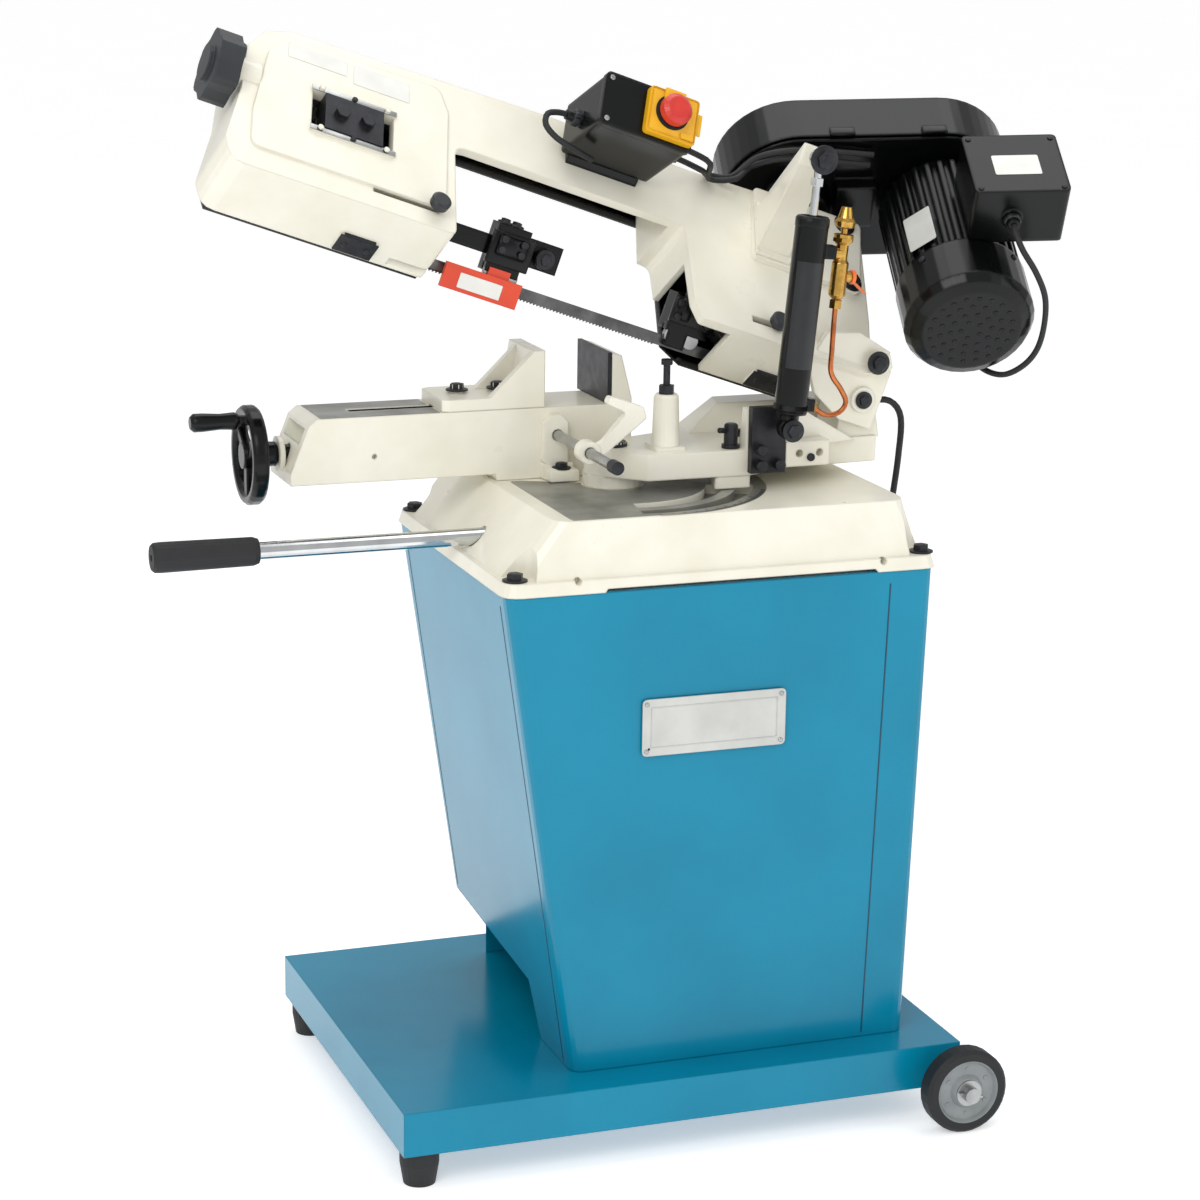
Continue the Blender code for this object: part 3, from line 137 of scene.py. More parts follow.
@dataclass(frozen=True)
class Finish:
    """One surface finish.

    Args:
        name: material name.
        slot: the record's material slot.
        colour: sRGB hex of the clean surface.
        worn: sRGB hex that the colour drifts towards in patches.
        roughness: mean roughness.
        metallic: 0 for paint and plastic, 1 for bare metal.
        grain_mm: size of the fine surface grain.
        grain: height of the grain in mm.
        patch_mm: size of the patches of colour and gloss.
        patch: how far a patch moves colour and roughness, 0 to 1.
        coat: clear coat weight.
        specular: specular level; 0.5 is an IOR of 1.5.
        edge_mm: how far the finish rounds an edge.
        stretch: scale of the grain along X, Y and Z, for brushed metal.
    """

    name: str
    slot: str
    colour: str
    worn: str
    roughness: float
    metallic: float = 0.0
    grain_mm: float = 1.2
    grain: float = 0.02
    patch_mm: float = 60.0
    patch: float = 0.25
    coat: float = 0.0
    specular: float = 0.5
    edge_mm: float = 0.8
    stretch: tuple[float, float, float] = (1.0, 1.0, 1.0)


# Thick enamel over sand-cast iron: soft waves from the sand show under a satin skin, and corners are round.
CREAM = Finish("cream_cast_enamel", "cream_paint", "#EDEADC", "#E4E0CF", 0.32, grain_mm=3.0, grain=0.05,
               patch_mm=70.0, patch=0.30, coat=0.25, edge_mm=3.0)
# Gloss enamel sprayed on flat sheet steel: long reflections with a faint orange peel of about 2 mm.
BLUE = Finish("blue_sheet_enamel", "blue_paint", "#0085A6", "#007C9C", 0.22, grain_mm=2.2, grain=0.018,
              patch_mm=160.0, patch=0.2, coat=0.10, specular=0.26, edge_mm=2.5)
# Gloss enamel on pressed and cast covers: near black, with tight highlights along the round edges.
BLACK = Finish("black_gloss_enamel", "black_paint", "#040606", "#070A0A", 0.22, grain_mm=2.6, grain=0.03,
               patch_mm=50.0, patch=0.25, coat=0.04, specular=0.26, edge_mm=5.0)
# Moulded ABS: the mould's spark texture scatters highlights. It is drawn at 0.9 mm, coarser than real, to show.
DARK_PLASTIC = Finish("dark_grey_plastic", "grey_plastic_dark", "#22262A", "#2B2F33", 0.48, grain_mm=0.9,
                      grain=0.03, patch_mm=40.0, patch=0.2, edge_mm=3.0)
# Moulded rubber: dull, with a grey bloom in patches.
RUBBER = Finish("black_rubber", "rubber", "#17181A", "#232426", 0.66, grain_mm=1.0, grain=0.04,
                patch_mm=25.0, patch=0.3)
# Turned and ground steel: fine parallel lines one way draw a highlight out across them.
STEEL = Finish("machined_steel", "steel", "#B9BABA", "#9A9B9A", 0.30, 1.0, grain_mm=0.9, grain=0.015,
               patch_mm=30.0, patch=0.35, stretch=(0.08, 1.0, 1.0))
# Hard chrome plate: nearly a mirror, with only faint handling marks.
CHROME = Finish("hard_chrome", "chrome", "#D8DADB", "#C4C7C9", 0.10, 1.0, grain_mm=1.5, grain=0.004,
                patch_mm=40.0, patch=0.25)
# Oiled black oxide on steel: dark and half metallic, patchy where the oil has dried.
OXIDE = Finish("black_oxide", "oxide", "#26272A", "#35363A", 0.40, 0.6, grain_mm=1.2, grain=0.03,
               patch_mm=12.0, patch=0.4)
# Orange-red enamel on the pressed blade guard: bright, with a soft coat over it.
RED = Finish("red_guard_enamel", "red_paint", "#D8431F", "#C93A1B", 0.32, grain_mm=2.0, grain=0.02,
             patch_mm=30.0, patch=0.2, coat=0.2)
# Moulded coloured ABS: even colour and a soft gloss.
YELLOW = Finish("yellow_plastic", "yellow_plastic", "#E9B21C", "#E0A617", 0.36, grain_mm=0.9, grain=0.015,
                patch_mm=20.0, patch=0.15)
RED_PLASTIC = Finish("red_plastic", "red_plastic", "#D2362C", "#C42C24", 0.34, grain_mm=0.9, grain=0.012,
                     patch_mm=15.0, patch=0.15)
ORANGE = Finish("orange_plastic", "red_plastic", "#E8702A", "#DC6623", 0.34, grain_mm=0.9, grain=0.012,
                patch_mm=15.0, patch=0.15)
# Machined brass: warm metal that tarnishes in small brown patches.
BRASS = Finish("plain_brass", "brass", "#C9A052", "#A88240", 0.28, 1.0, grain_mm=1.2, grain=0.02,
               patch_mm=9.0, patch=0.45)
# Drawn copper tube: smooth and bright, browned where it was bent.
COPPER = Finish("copper_tube", "brass", "#C8784A", "#A65F3A", 0.26, 1.0, grain_mm=1.5, grain=0.012,
                patch_mm=14.0, patch=0.4)
# Moulded grey polypropylene wheel: matt and slightly cloudy.
HUB = Finish("grey_plastic_hub", "hub_grey", "#8D9293", "#7F8485", 0.46, grain_mm=1.0, grain=0.03,
             patch_mm=25.0, patch=0.3)
# Thin rolled aluminium plate, left bare: pale and slightly metallic.
PLATE = Finish("blank_plate", "plain_plate", "#C9CAC6", "#BBBCB8", 0.38, 0.2, grain_mm=0.9, grain=0.008,
               patch_mm=40.0, patch=0.2)
# Vinyl stickers, left blank: flat and even.
LABEL = Finish("blank_label", "plain_plate", "#E4E4DF", "#DADAD4", 0.42, grain_mm=1.0, grain=0.004,
               patch_mm=30.0, patch=0.12)
LABEL_DARK = Finish("dark_label", "plain_plate", "#16181A", "#1B1D1F", 0.36, grain_mm=1.0, grain=0.004,
                    patch_mm=20.0, patch=0.15)
# Flat, nearly black and matt: painted shade standing for the inside of the vise bed's slot and the fan cover's holes,
# and also the dark colour of the mitre scale's lines and the stop button's collar.
SHADOW = Finish("painted_shade_and_marks", "oxide", "#0B0C0D", "#101112", 0.8, grain_mm=1.5, grain=0.02, patch_mm=10.0, patch=0.2)
SEAM = Finish("blue_seam", "blue_paint", "#073F5C", "#06364F", 0.4, grain_mm=2.0, grain=0.01, patch_mm=60.0, patch=0.2)
# Blued spring steel, oiled: darker than the turned parts, with lines along the blade.
BLADE = Finish("saw_band_steel", "steel", "#6F706F", "#565756", 0.38, 0.9, grain_mm=0.8, grain=0.01,
               patch_mm=18.0, patch=0.4, stretch=(0.1, 1.0, 1.0))
# Milled cast iron: grey and dull, with lines across the cut.
GROUND = Finish("ground_bed", "steel", "#9C9D98", "#7F807A", 0.36, 0.6, grain_mm=1.1, grain=0.02,
                patch_mm=45.0, patch=0.4, stretch=(1.0, 0.10, 1.0))

MATERIALS: dict[str, bpy.types.Material] = {}


def add(tree: bpy.types.NodeTree, kind: str, links: dict | None = None, **settings: object) -> bpy.types.Node:
    """Add one shader node.

    Args:
        tree: node tree to add to.
        kind: node type's identifier.
        links: input name or index to the output socket that feeds it.
        settings: properties, or inputs when the name is an input's.

    Returns:
        The new node.
    """
    node = tree.nodes.new(kind)
    for key, value in settings.items():
        label = key.replace("_", " ")
        if hasattr(node, key) and key not in node.inputs:
            setattr(node, key, value)
        elif label in node.inputs:
            node.inputs[label].default_value = value
        else:
            node.inputs[int(key.rsplit("_", 1)[1])].default_value = value
    for key, output in (links or {}).items():
        tree.links.new(output, node.inputs[key])
    return node


def make_material(finish: Finish, tyre: tuple[float, float, float] | None = None) -> bpy.types.Material:
    """Build a finish as a procedural material.

    Args:
        finish: the finish.
        tyre: optional (x, z, radius) in metres; outside that radius of an axle
            along Y the surface is black rubber.

    Returns:
        The material.
    """
    made = bpy.data.materials.new(finish.name)
    made.use_nodes = True
    tree = made.node_tree
    shader = tree.nodes["Principled BSDF"]
    place = add(tree, "ShaderNodeTexCoord").outputs["Object"]
    stretched = add(tree, "ShaderNodeMapping", {"Vector": place}, Scale=finish.stretch).outputs["Vector"]
    patches = add(tree, "ShaderNodeTexNoise", {"Vector": place}, Scale=1.0 / (finish.patch_mm * MM), Detail=4.0)
    grain = add(tree, "ShaderNodeTexNoise", {"Vector": stretched}, Scale=1.0 / (finish.grain_mm * MM), Detail=2.0)
    spread = add(tree, "ShaderNodeMapRange", {"Value": patches.outputs["Fac"]},
                 From_Min=0.35, From_Max=0.7, To_Min=0.0, To_Max=1.0)
    tint = add(tree, "ShaderNodeMix", {"Factor": spread.outputs["Result"]}, data_type="RGBA")
    tint.inputs[6].default_value = linear(finish.colour)
    tint.inputs[7].default_value = linear(finish.worn)
    colour = tint.outputs[2]
    swing = finish.patch * 0.5
    gloss = add(tree, "ShaderNodeMapRange", {"Value": patches.outputs["Fac"]}, From_Min=0.3, From_Max=0.7,
                To_Min=finish.roughness * (1.0 - swing), To_Max=finish.roughness * (1.0 + swing))
    rough = gloss.outputs["Result"]
    if tyre is not None:
        axle_x, axle_z, radius = tyre
        split = add(tree, "ShaderNodeSeparateXYZ", {"Vector": place})
        across = add(tree, "ShaderNodeMath", {0: split.outputs["X"]}, operation="SUBTRACT")
        across.inputs[1].default_value = axle_x
        above = add(tree, "ShaderNodeMath", {0: split.outputs["Z"]}, operation="SUBTRACT")
        above.inputs[1].default_value = axle_z
        flat = add(tree, "ShaderNodeCombineXYZ", {"X": across.outputs[0], "Y": above.outputs[0]})
        reach = add(tree, "ShaderNodeVectorMath", {0: flat.outputs[0]}, operation="LENGTH")
        outside = add(tree, "ShaderNodeMath", {0: reach.outputs["Value"]}, operation="GREATER_THAN")
        outside.inputs[1].default_value = radius
        rubber = add(tree, "ShaderNodeMix", {"Factor": outside.outputs[0], 6: colour}, data_type="RGBA")
        rubber.inputs[7].default_value = linear(RUBBER.colour)
        colour = rubber.outputs[2]
        dull = add(tree, "ShaderNodeMix", {"Factor": outside.outputs[0], 2: rough}, data_type="FLOAT")
        dull.inputs[3].default_value = RUBBER.roughness
        rough = dull.outputs[0]
    edge = add(tree, "ShaderNodeBevel", Radius=finish.edge_mm * MM, samples=6)
    bump = add(tree, "ShaderNodeBump", {"Height": grain.outputs["Fac"], "Normal": edge.outputs["Normal"]},
               Strength=0.35, Distance=finish.grain * MM)
    tree.links.new(colour, shader.inputs["Base Color"])
    tree.links.new(rough, shader.inputs["Roughness"])
    tree.links.new(bump.outputs["Normal"], shader.inputs["Normal"])
    shader.inputs["Metallic"].default_value = finish.metallic
    shader.inputs["Specular IOR Level"].default_value = finish.specular
    shader.inputs["Coat Weight"].default_value = finish.coat
    shader.inputs["Coat Roughness"].default_value = 0.12
    return made


def coat(finish: Finish) -> bpy.types.Material:
    """Give the material of a finish, made once.

    Args:
        finish: the finish.

    Returns:
        Its material.
    """
    if finish.name not in MATERIALS:
        MATERIALS[finish.name] = make_material(finish)
    return MATERIALS[finish.name]


def piece(mesh: Mesh, name: str, finish: Finish, body: Body | None, smooth: float = 35.0,
          matrix: Matrix | None = None) -> bpy.types.Object:
    """Make an object from a bmesh in millimetres.

    Args:
        mesh: bmesh, freed here.
        name: object name.
        finish: finish of the whole piece.
        body: body it rides on, or None.
        smooth: angle in degrees above which an edge stays sharp.
        matrix: frame of the mesh, in mm, to the world's mm.

    Returns:
        The object.
    """
    bmesh.ops.recalc_face_normals(mesh, faces=mesh.faces)
    mesh.transform(Matrix.Scale(MM, 4) @ (matrix or FRAME_MATRIX))
    data = bpy.data.meshes.new(name)
    mesh.to_mesh(data)
    mesh.free()
    data.shade_smooth()
    data.set_sharp_from_angle(angle=math.radians(smooth))
    data.materials.append(coat(finish))
    made = bpy.data.objects.new(name, data)
    bpy.context.scene.collection.objects.link(made)
    if body is not None:
        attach(made, body.value)
    LOG.info("piece %s", name)
    return made


def merged(meshes: Sequence[Mesh]) -> Mesh:
    """Put several bmeshes into the first.

    Args:
        meshes: bmeshes; all but the first are freed.

    Returns:
        The first, holding all of them.
    """
    first = meshes[0]
    for other in meshes[1:]:
        data = bpy.data.meshes.new("part")
        other.to_mesh(data)
        other.free()
        first.from_mesh(data)
        bpy.data.meshes.remove(data)
    return first


def skin(mesh: Mesh, rings: Sequence[Sequence[bmesh.types.BMVert]]) -> None:
    """Close a stack of rings: walls between them and a face on each end.

    Args:
        mesh: bmesh that holds the rings.
        rings: vertices of each ring, in order, the same number in each.
    """
    for lower, upper in zip(rings, rings[1:]):
        for step in range(len(lower)):
            after = (step + 1) % len(lower)
            mesh.faces.new((lower[step], lower[after], upper[after], upper[step]))
    mesh.faces.new(rings[0])
    mesh.faces.new(rings[-1])


def block(x0: float, x1: float, y0: float, y1: float, z0: float, z1: float, bevel: float = 0.0) -> Mesh:
    """Box with rounded edges.

    Args:
        x0: lowest X.
        x1: highest X.
        y0: lowest Y.
        y1: highest Y.
        z0: lowest Z.
        z1: highest Z.
        bevel: width of the rounding.

    Returns:
        The bmesh.
    """
    mesh = bmesh.new()
    bmesh.ops.create_cube(mesh, size=1.0)
    for vert in mesh.verts:
        vert.co = Vector((
            x0 + (vert.co.x + 0.5) * (x1 - x0),
            y0 + (vert.co.y + 0.5) * (y1 - y0),
            z0 + (vert.co.z + 0.5) * (z1 - z0),
        ))
    if bevel > 0.0:
        bmesh.ops.bevel(mesh, geom=mesh.edges[:], offset=bevel, segments=2, affect="EDGES", profile=0.6)
    return mesh


def turned(profile: Profile, origin: Point, axis: Point, steps: int = 32) -> Mesh:
    """Solid of revolution.

    Args:
        profile: (distance along the axis, radius) pairs.
        origin: where distance 0 lies.
        axis: direction of the axis.
        steps: facets round it.

    Returns:
        The bmesh.
    """
    mesh = bmesh.new()
    turn = Vector(axis).normalized().to_track_quat("Z", "Y").to_matrix()
    rings = []
    for distance, radius in profile:
        ring = []
        for step in range(steps):
            angle = 2.0 * math.pi * step / steps
            spoke = Vector((radius * math.cos(angle), radius * math.sin(angle), distance))
            ring.append(mesh.verts.new(Vector(origin) + turn @ spoke))
        rings.append(ring)
    skin(mesh, rings)
    return mesh


def socket_screw(seat: Point, axis: Point, radius: float, height: float) -> list[Mesh]:
    """Cap screw head with a hexagon in its face.

    Args:
        seat: centre of the face it sits on.
        axis: direction out of that face.
        radius: radius of the head.
        height: height of the head.

    Returns:
        The head and its hexagon.
    """
    head = turned([(0.0, radius), (height - 0.6, radius), (height, radius - 0.6)], seat, axis, 24)
    top = Vector(seat) + Vector(axis).normalized() * (height + 0.05)
    return [head, turned([(0.0, radius * 0.52), (0.15, radius * 0.52)], top, axis, 6)]


def flange_bolt(seat: Point, axis: Point, radius: float) -> list[Mesh]:
    """Hexagon flange bolt.

    Args:
        seat: centre of the face it sits on.
        axis: direction out of that face.
        radius: radius of its shank, about.

    Returns:
        Washer face, head and the shallow dish on top.
    """
    base = Vector(seat)
    along = Vector(axis).normalized()
    washer = turned([(0.0, radius * 1.7), (1.6, radius * 1.7), (2.6, radius * 1.3)], base, along, 28)
    flats = [(2.0, radius * 1.12), (radius * 0.95, radius * 1.12), (radius * 1.05, radius * 1.0)]
    dish = turned([(radius * 1.04, radius * 0.7), (radius * 1.12, radius * 0.6)], base, along, 18)
    return [washer, turned(flats, base, along, 6), dish]


def thin_sheet(corners: Sequence[Point], thickness: float = 0.35) -> Mesh:
    """Thin sheet on four corners of a flat face, with rounded corners.

    Args:
        corners: four corners in order round the sheet.
        thickness: its thickness, on the side that they turn about.

    Returns:
        The bmesh.
    """
    p0, p1, _, p3 = (Vector(corner) for corner in corners)
    wide, high = (p1 - p0), (p3 - p0)
    normal = wide.cross(high).normalized()
    radius = 0.06 * min(wide.length, high.length)
    spots = []
    for right, top, start in ((1, 1, 0), (0, 1, 90), (0, 0, 180), (1, 0, 270)):
        for step in range(5):
            angle = math.radians(start + 22.5 * step)
            u = right * wide.length + (radius * math.cos(angle) - radius * (1 if right else -1))
            v = top * high.length + (radius * math.sin(angle) - radius * (1 if top else -1))
            spots.append(p0 + wide.normalized() * u + high.normalized() * v)
    mesh = bmesh.new()
    skin(mesh, [[mesh.verts.new(spot + normal * lift) for spot in spots] for lift in (0.0, thickness)])
    return mesh


def arc_ring(mesh: Mesh, centre: tuple[float, float], inner: float, outer: float, low: float, high: float,
             degrees: float) -> list[bmesh.types.BMVert]:
    """Four corners of a ring's section at one angle.

    Args:
        mesh: bmesh to add to.
        centre: X and Y of the ring's axis, which is along Z.
        inner: inner radius.
        outer: outer radius.
        low: lowest Z.
        high: highest Z.
        degrees: angle from +X.

    Returns:
        The four vertices.
    """
    along, across = math.cos(math.radians(degrees)), math.sin(math.radians(degrees))
    return [mesh.verts.new((centre[0] + radius * along, centre[1] + radius * across, z))
            for radius, z in ((inner, low), (outer, low), (outer, high), (inner, high))]


def smooth_path(marks: Sequence[Vector], spacing: float) -> list[Vector]:
    """Catmull-Rom curve through marks.

    Args:
        marks: points that it passes through.
        spacing: about how far apart its points lie.

    Returns:
        Its points.
    """
    points = []
    for index in range(len(marks) - 1):
        before = Vector(marks[max(index - 1, 0)])
        start = Vector(marks[index])
        end = Vector(marks[index + 1])
        after = Vector(marks[min(index + 2, len(marks) - 1)])
        pieces = max(2, round((end - start).length / spacing))
        for step in range(pieces):
            t = step / pieces
            spot = 0.5 * (
                (2 * start) + (end - before) * t + (2 * before - 5 * start + 4 * end - after) * t * t
                + (3 * start - before - 3 * end + after) * t ** 3
            )
            points.append(spot)
    points.append(Vector(marks[-1]))
    return points


def ramp(step: float, start: float, end: float) -> float:
    """Give 0 before start, 1 after end and a straight line between."""
    return min(1.0, max(0.0, (step - start) / (end - start)))


def tube(points: Sequence[Vector], radius: float, sides: int = 12) -> Mesh:
    """Round tube along points, with a frame carried from ring to ring.

    Args:
        points: its centreline.
        radius: its radius.
        sides: facets round it.

    Returns:
        The bmesh.
    """
    mesh = bmesh.new()
    rings = []
    normal = None
    for index, point in enumerate(points):
        before = points[max(index - 1, 0)]
        after = points[min(index + 1, len(points) - 1)]
        along = (after - before).normalized()
        if normal is None:
            normal = along.orthogonal().normalized()
        normal = (normal - along * normal.dot(along)).normalized()
        side = along.cross(normal)
        ring = []
        for step in range(sides):
            angle = 2.0 * math.pi * step / sides
            ring.append(mesh.verts.new(point + radius * (math.cos(angle) * normal + math.sin(angle) * side)))
        rings.append(ring)
    skin(mesh, rings)
    return mesh


@dataclass
class CadFinishes:
    """Gives every carried-over CAD node its finish.

    Args:
        rim_radius: where a transport wheel's rubber tread starts, in metres.
    """

    frame: dict
    rim_radius: float = 0.0375

    BY_SLOT = {f.slot: f for f in (CREAM, BLUE, BLACK, DARK_PLASTIC, RUBBER, STEEL, CHROME, OXIDE, RED, YELLOW,
                                   RED_PLASTIC, BRASS, HUB, PLATE)}
    BY_NODE = {"saw_band": BLADE, "shutoff_lever": ORANGE}
    WHEELS = ("wheel_front", "wheel_rear")

    def apply(self) -> None:
        """Assign materials by the record's slots; the transport wheels get a rubber tread."""
        slots = {row["node"]: row["material_slot"] for row in self.frame["record"]["subparts"]}
        tyre = ((AXLE[0] - ORIGIN.x) * MM, AXLE[1] * MM, self.rim_radius)
        for name, node in self.frame["nodes"].items():
            finish = self.BY_NODE.get(name, self.BY_SLOT[slots[name]])
            made = make_material(finish, tyre) if name in self.WHEELS else coat(finish)
            node.data.materials.clear()
            node.data.materials.append(made)
        LOG.info("finished %d CAD nodes", len(self.frame["nodes"]))


@dataclass(frozen=True)
class MainsLead:
    """Mains lead: one rubber tube down from the swivel arm, coiled and tied behind the stand."""

    radius: float = 4.0
    route: tuple[Point, ...] = (
        (655.6, 325.0, 780.0), (668, 325.0, 781.0), (681, 325.3, 784.6), (694, 325.9, 787.4), (707, 326.7, 785.0),
        (717.6, 327.6, 776.4), (723.6, 328.5, 763.4), (724.8, 329.2, 745), (723.6, 330.4, 722), (722, 331, 700),
        (712, 334, 600), (704, 338, 450), (704, 344, 300), (712, 368, 150), (728, 420, 50), (740, 480, 10),
        (744, 540, 4.4), (722, 594, 4.4), (660, 616, 4.4), (560, 618, 4.4), (470, 628, 4.4),
    )
    coil_centre: tuple[float, float] = (404.0, 590.0)
    coil_radius: float = 44.0
    coil_start: float = 68.0
    coil_steps: int = 51
    steps_a_turn: int = 24
    floor_gap: float = 4.4
    layer: float = 8.4
    inward: float = 8.6
    tail: tuple[Point, ...] = ((372.0, 614.0, 21.0), (352.0, 592.0, 19.6), (332.0, 570.8, 18.3))
    swivel_down_to: float = 600.0
    tie_angles: tuple[float, ...] = (200.0, 290.0)

    def centreline(self) -> list[Vector]:
        """Route, coil and tail as one line.

        Returns:
            Its points in mm.
        """
        coil = []
        for step in range(self.coil_steps + 1):
            angle = math.radians(self.coil_start) + 2.0 * math.pi * step / self.steps_a_turn
            lift = self.floor_gap + self.layer * (ramp(step, 10, 24) + ramp(step, 38, 50))
            swell = self.coil_radius - self.inward * ramp(step, 30, 42)
            coil.append(Vector((self.coil_centre[0] + swell * math.cos(angle),
                                self.coil_centre[1] + swell * math.sin(angle), lift)))
        tail = smooth_path([coil[-1]] + [Vector(mark) for mark in self.tail], 8.0)[1:]
        return smooth_path([Vector(mark) for mark in self.route] + [coil[0]], 10.0)[:-1] + coil + tail

    def build(self) -> None:
        """Make the tube with its ties."""
        points = self.centreline()
        lead = piece(tube(points, self.radius, 10), "mains_lead", RUBBER, None, 60.0)
        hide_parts("mains_cord", "cord_coil")
        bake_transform(lead)
        ties = piece(merged([self.tie(degrees) for degrees in self.tie_angles]), "lead_ties", DARK_PLASTIC, Body.BASE)

    def tie(self, degrees: float, sides: int = 28) -> Mesh:
        """Flat strap round the bundle, at right angles to it.

        Args:
            degrees: where on the coil it sits.
            sides: facets round it.

        Returns:
            The bmesh.
        """
        angle = math.radians(degrees)
        outward = Vector((math.cos(angle), math.sin(angle), 0.0))
        along = Vector((-math.sin(angle), math.cos(angle), 0.0))
        centre = Vector((*self.coil_centre, 8.6)) + outward * (self.coil_radius - 4.0)
        mesh = bmesh.new()
        rings = []
        for side in (-3.0, 3.0):
            for wide, high in ((13.6, 9.0), (12.6, 8.2)):
                ring = []
                for step in range(sides):
                    turn = 2.0 * math.pi * step / sides
                    place = centre + outward * wide * math.cos(turn) + Vector((0, 0, high * math.sin(turn)))
                    place.z = max(place.z, 0.3)
                    ring.append(mesh.verts.new(place + along * side))
                rings.append(ring)
        outer_low, inner_low, outer_high, inner_high = rings
        for one, two in ((outer_low, outer_high), (inner_high, inner_low), (outer_high, inner_high),
                         (inner_low, outer_low)):
            for step in range(sides):
                after = (step + 1) % sides
                mesh.faces.new((one[step], one[after], two[after], two[step]))
        return mesh


@dataclass(frozen=True)
class StandTrim:
    """Seams of the cabinet, rivets of the badge, hub caps and bolts of the base casting."""

    cabinet_z: tuple[float, float] = (97.0, 633.0)
    badge_front: float = 44.9
    badge_x: tuple[float, float] = (292.0, 452.5)
    badge_z: tuple[float, float] = (463.5, 517.5)
    wheel_faces: tuple[float, float] = (-36.0, 548.0)
    seat_inner: float = 36.0
    slot_radii: tuple[float, float] = (106.0, 160.0)
    scale_radius: float = 175.0
    scale_degrees: int = 66
    bed_top: float = 806.02
    slot_bottom: float = 796.3

    def build(self) -> None:
        """Make the pieces, from the floor up."""
        self.cabinet()
        self.seams()
        self.wheels()
        self.base_bolts()
        self.ground_seat()
        self.angle_marks()
        self.vise()
        self.bed()

    def cabinet(self) -> None:
        """Rivets and the pressed border of the badge plate."""
        dome = [(0, 2.6), (0.8, 2.5), (1.4, 1.6), (1.6, 0.6)]
        rivets = [turned(dome, (x, self.badge_front, z), (0, -1, 0), 14) for x in self.badge_x for z in self.badge_z]
        piece(merged(rivets), "badge_rivets", STEEL, Body.BASE, 50.0)
        # A border pressed into the plate catches the light as a thin line.
        edges = ((297, 448, 467.2, 468.2), (297, 448, 512.8, 513.8), (297, 298, 468.2, 512.8), (447, 448, 468.2, 512.8))
        border = [block(x0, x1, 44.6, 44.95, z0, z1, 0.1) for x0, x1, z0, z1 in edges]
        piece(merged(border), "badge_border", PLATE, Body.BASE)

    def seams(self) -> None:
        """Folded sheet edges: thin dark joints where the panels meet."""
        low, high = self.cabinet_z
        half = 0.8
        lines = [thin_sheet(((568.0 - half, 50.95, low), (568.0 + half, 50.95, low),
                             (583.0 + half, 47.95, high), (583.0 - half, 47.95, high)), 0.25)]
        for y, start in ((78.0, low), (430.0, 192.0)):
            x_low, x_high = (212.0 - 82.0 * (z - 92.1) / 555.1 - 0.05 for z in (start, high))
            lines.append(thin_sheet(((x_low, y + half, start), (x_low, y - half, start),
                                     (x_high, y - half, high), (x_high, y + half, high)), 0.25))
        piece(merged(lines), "cabinet_seams", SEAM, Body.BASE)

    def wheels(self) -> None:
        """Moulding marks in the wheels' webs, and the washers and split pins of the axle."""
        x, z = AXLE
        washers = []
        for y, side, body in zip(self.wheel_faces, (-1, 1), (Body.FRONT_WHEEL, Body.REAR_WHEEL)):
            marks = []
            for step in range(6):
                angle = math.radians(60.0 * step + 30.0)
                seat = Vector((x, y + side * 8.1, z)) + Vector((math.cos(angle), 0.0, math.sin(angle))) * 27.0
                marks.append(turned([(0, 2.6), (0.6, 2.4)], seat, (0, side, 0), 12))
            piece(merged(marks), body.value + "_web_marks", HUB, body)
            face = y + side * 14.2
            washers.append(turned([(0, 15.5), (1.6, 15.5), (1.8, 10.2)], (x, face, z), (0, side, 0), 32))
            pin = [Vector((x - 13, face + side * 5.0, z + 2)), Vector((x, face + side * 5.4, z)),
                   Vector((x + 15, face + side * 5.0, z - 5))]
            washers.append(tube(pin, 1.4, 8))
        piece(merged(washers), "axle_washers", STEEL, Body.BASE)

    def base_bolts(self) -> None:
        """Bolts at the casting's four corners."""
        bolts = []
        for x in (145.6, 628.9):
            for y in (68.6, 440.4):
                bolts += flange_bolt((x, y, 662.2), (0, 0, 1), 8.2)
        piece(merged(bolts), "base_bolts", OXIDE, Body.BASE, 30.0)

    def reach(self, degrees: float) -> float:
        """Find how far the ground area goes from the pivot.

        Args:
            degrees: direction from the pivot.

        Returns:
            Distance to its edge in mm.
        """
        angle = math.radians(degrees)
        along, across = math.cos(angle), math.sin(angle)
        limits = [176.0 if degrees > -98.0 else 400.0]
        if across < -0.01:
            limits.append((PIVOT[1] - 72.0) / -across)
        if along < -0.01:
            limits.append((PIVOT[0] - 212.0) / -along)
        if across > 0.01:
            limits.append((286.0 - PIVOT[1]) / across)
        return min(limits)

    def ground_seat(self) -> None:
        """Milled seat that the arm slides on, round the slot of the clamp, and the slot's floor."""
        mesh = bmesh.new()
        low, high = BASE_TOP_Z + 0.02, BASE_TOP_Z + 0.25
        slot_inner, slot_outer = self.slot_radii
        for start, end, bands in ((-205.0, -98.0, ((self.seat_inner, None),)),
                                  (-98.0, -18.0, ((self.seat_inner, slot_inner), (slot_outer, None))),
                                  (-18.0, 10.0, ((self.seat_inner, None),))):
            steps = int((end - start) / 2.0)
            for inner, outer in bands:
                rings = []
                for step in range(steps + 1):
                    degrees = start + (end - start) * step / steps
                    far = outer if outer is not None else self.reach(degrees)
                    rings.append(arc_ring(mesh, PIVOT, inner, far, low, high, degrees))
                skin(mesh, rings)
        piece(mesh, "ground_seat", GROUND, Body.BASE)
        floor = bmesh.new()
        for inner, outer, low, high in ((106.3, 159.7, BASE_TOP_Z - 11.4, BASE_TOP_Z - 10.6),
                                        (126.0, 140.0, BASE_TOP_Z - 10.7, BASE_TOP_Z - 0.6)):
            skin(floor, [arc_ring(floor, PIVOT, inner, outer, low, high, -97.6 + 79.2 * step / 40)
                         for step in range(41)])
        piece(floor, "slot_floor", GROUND, Body.BASE)

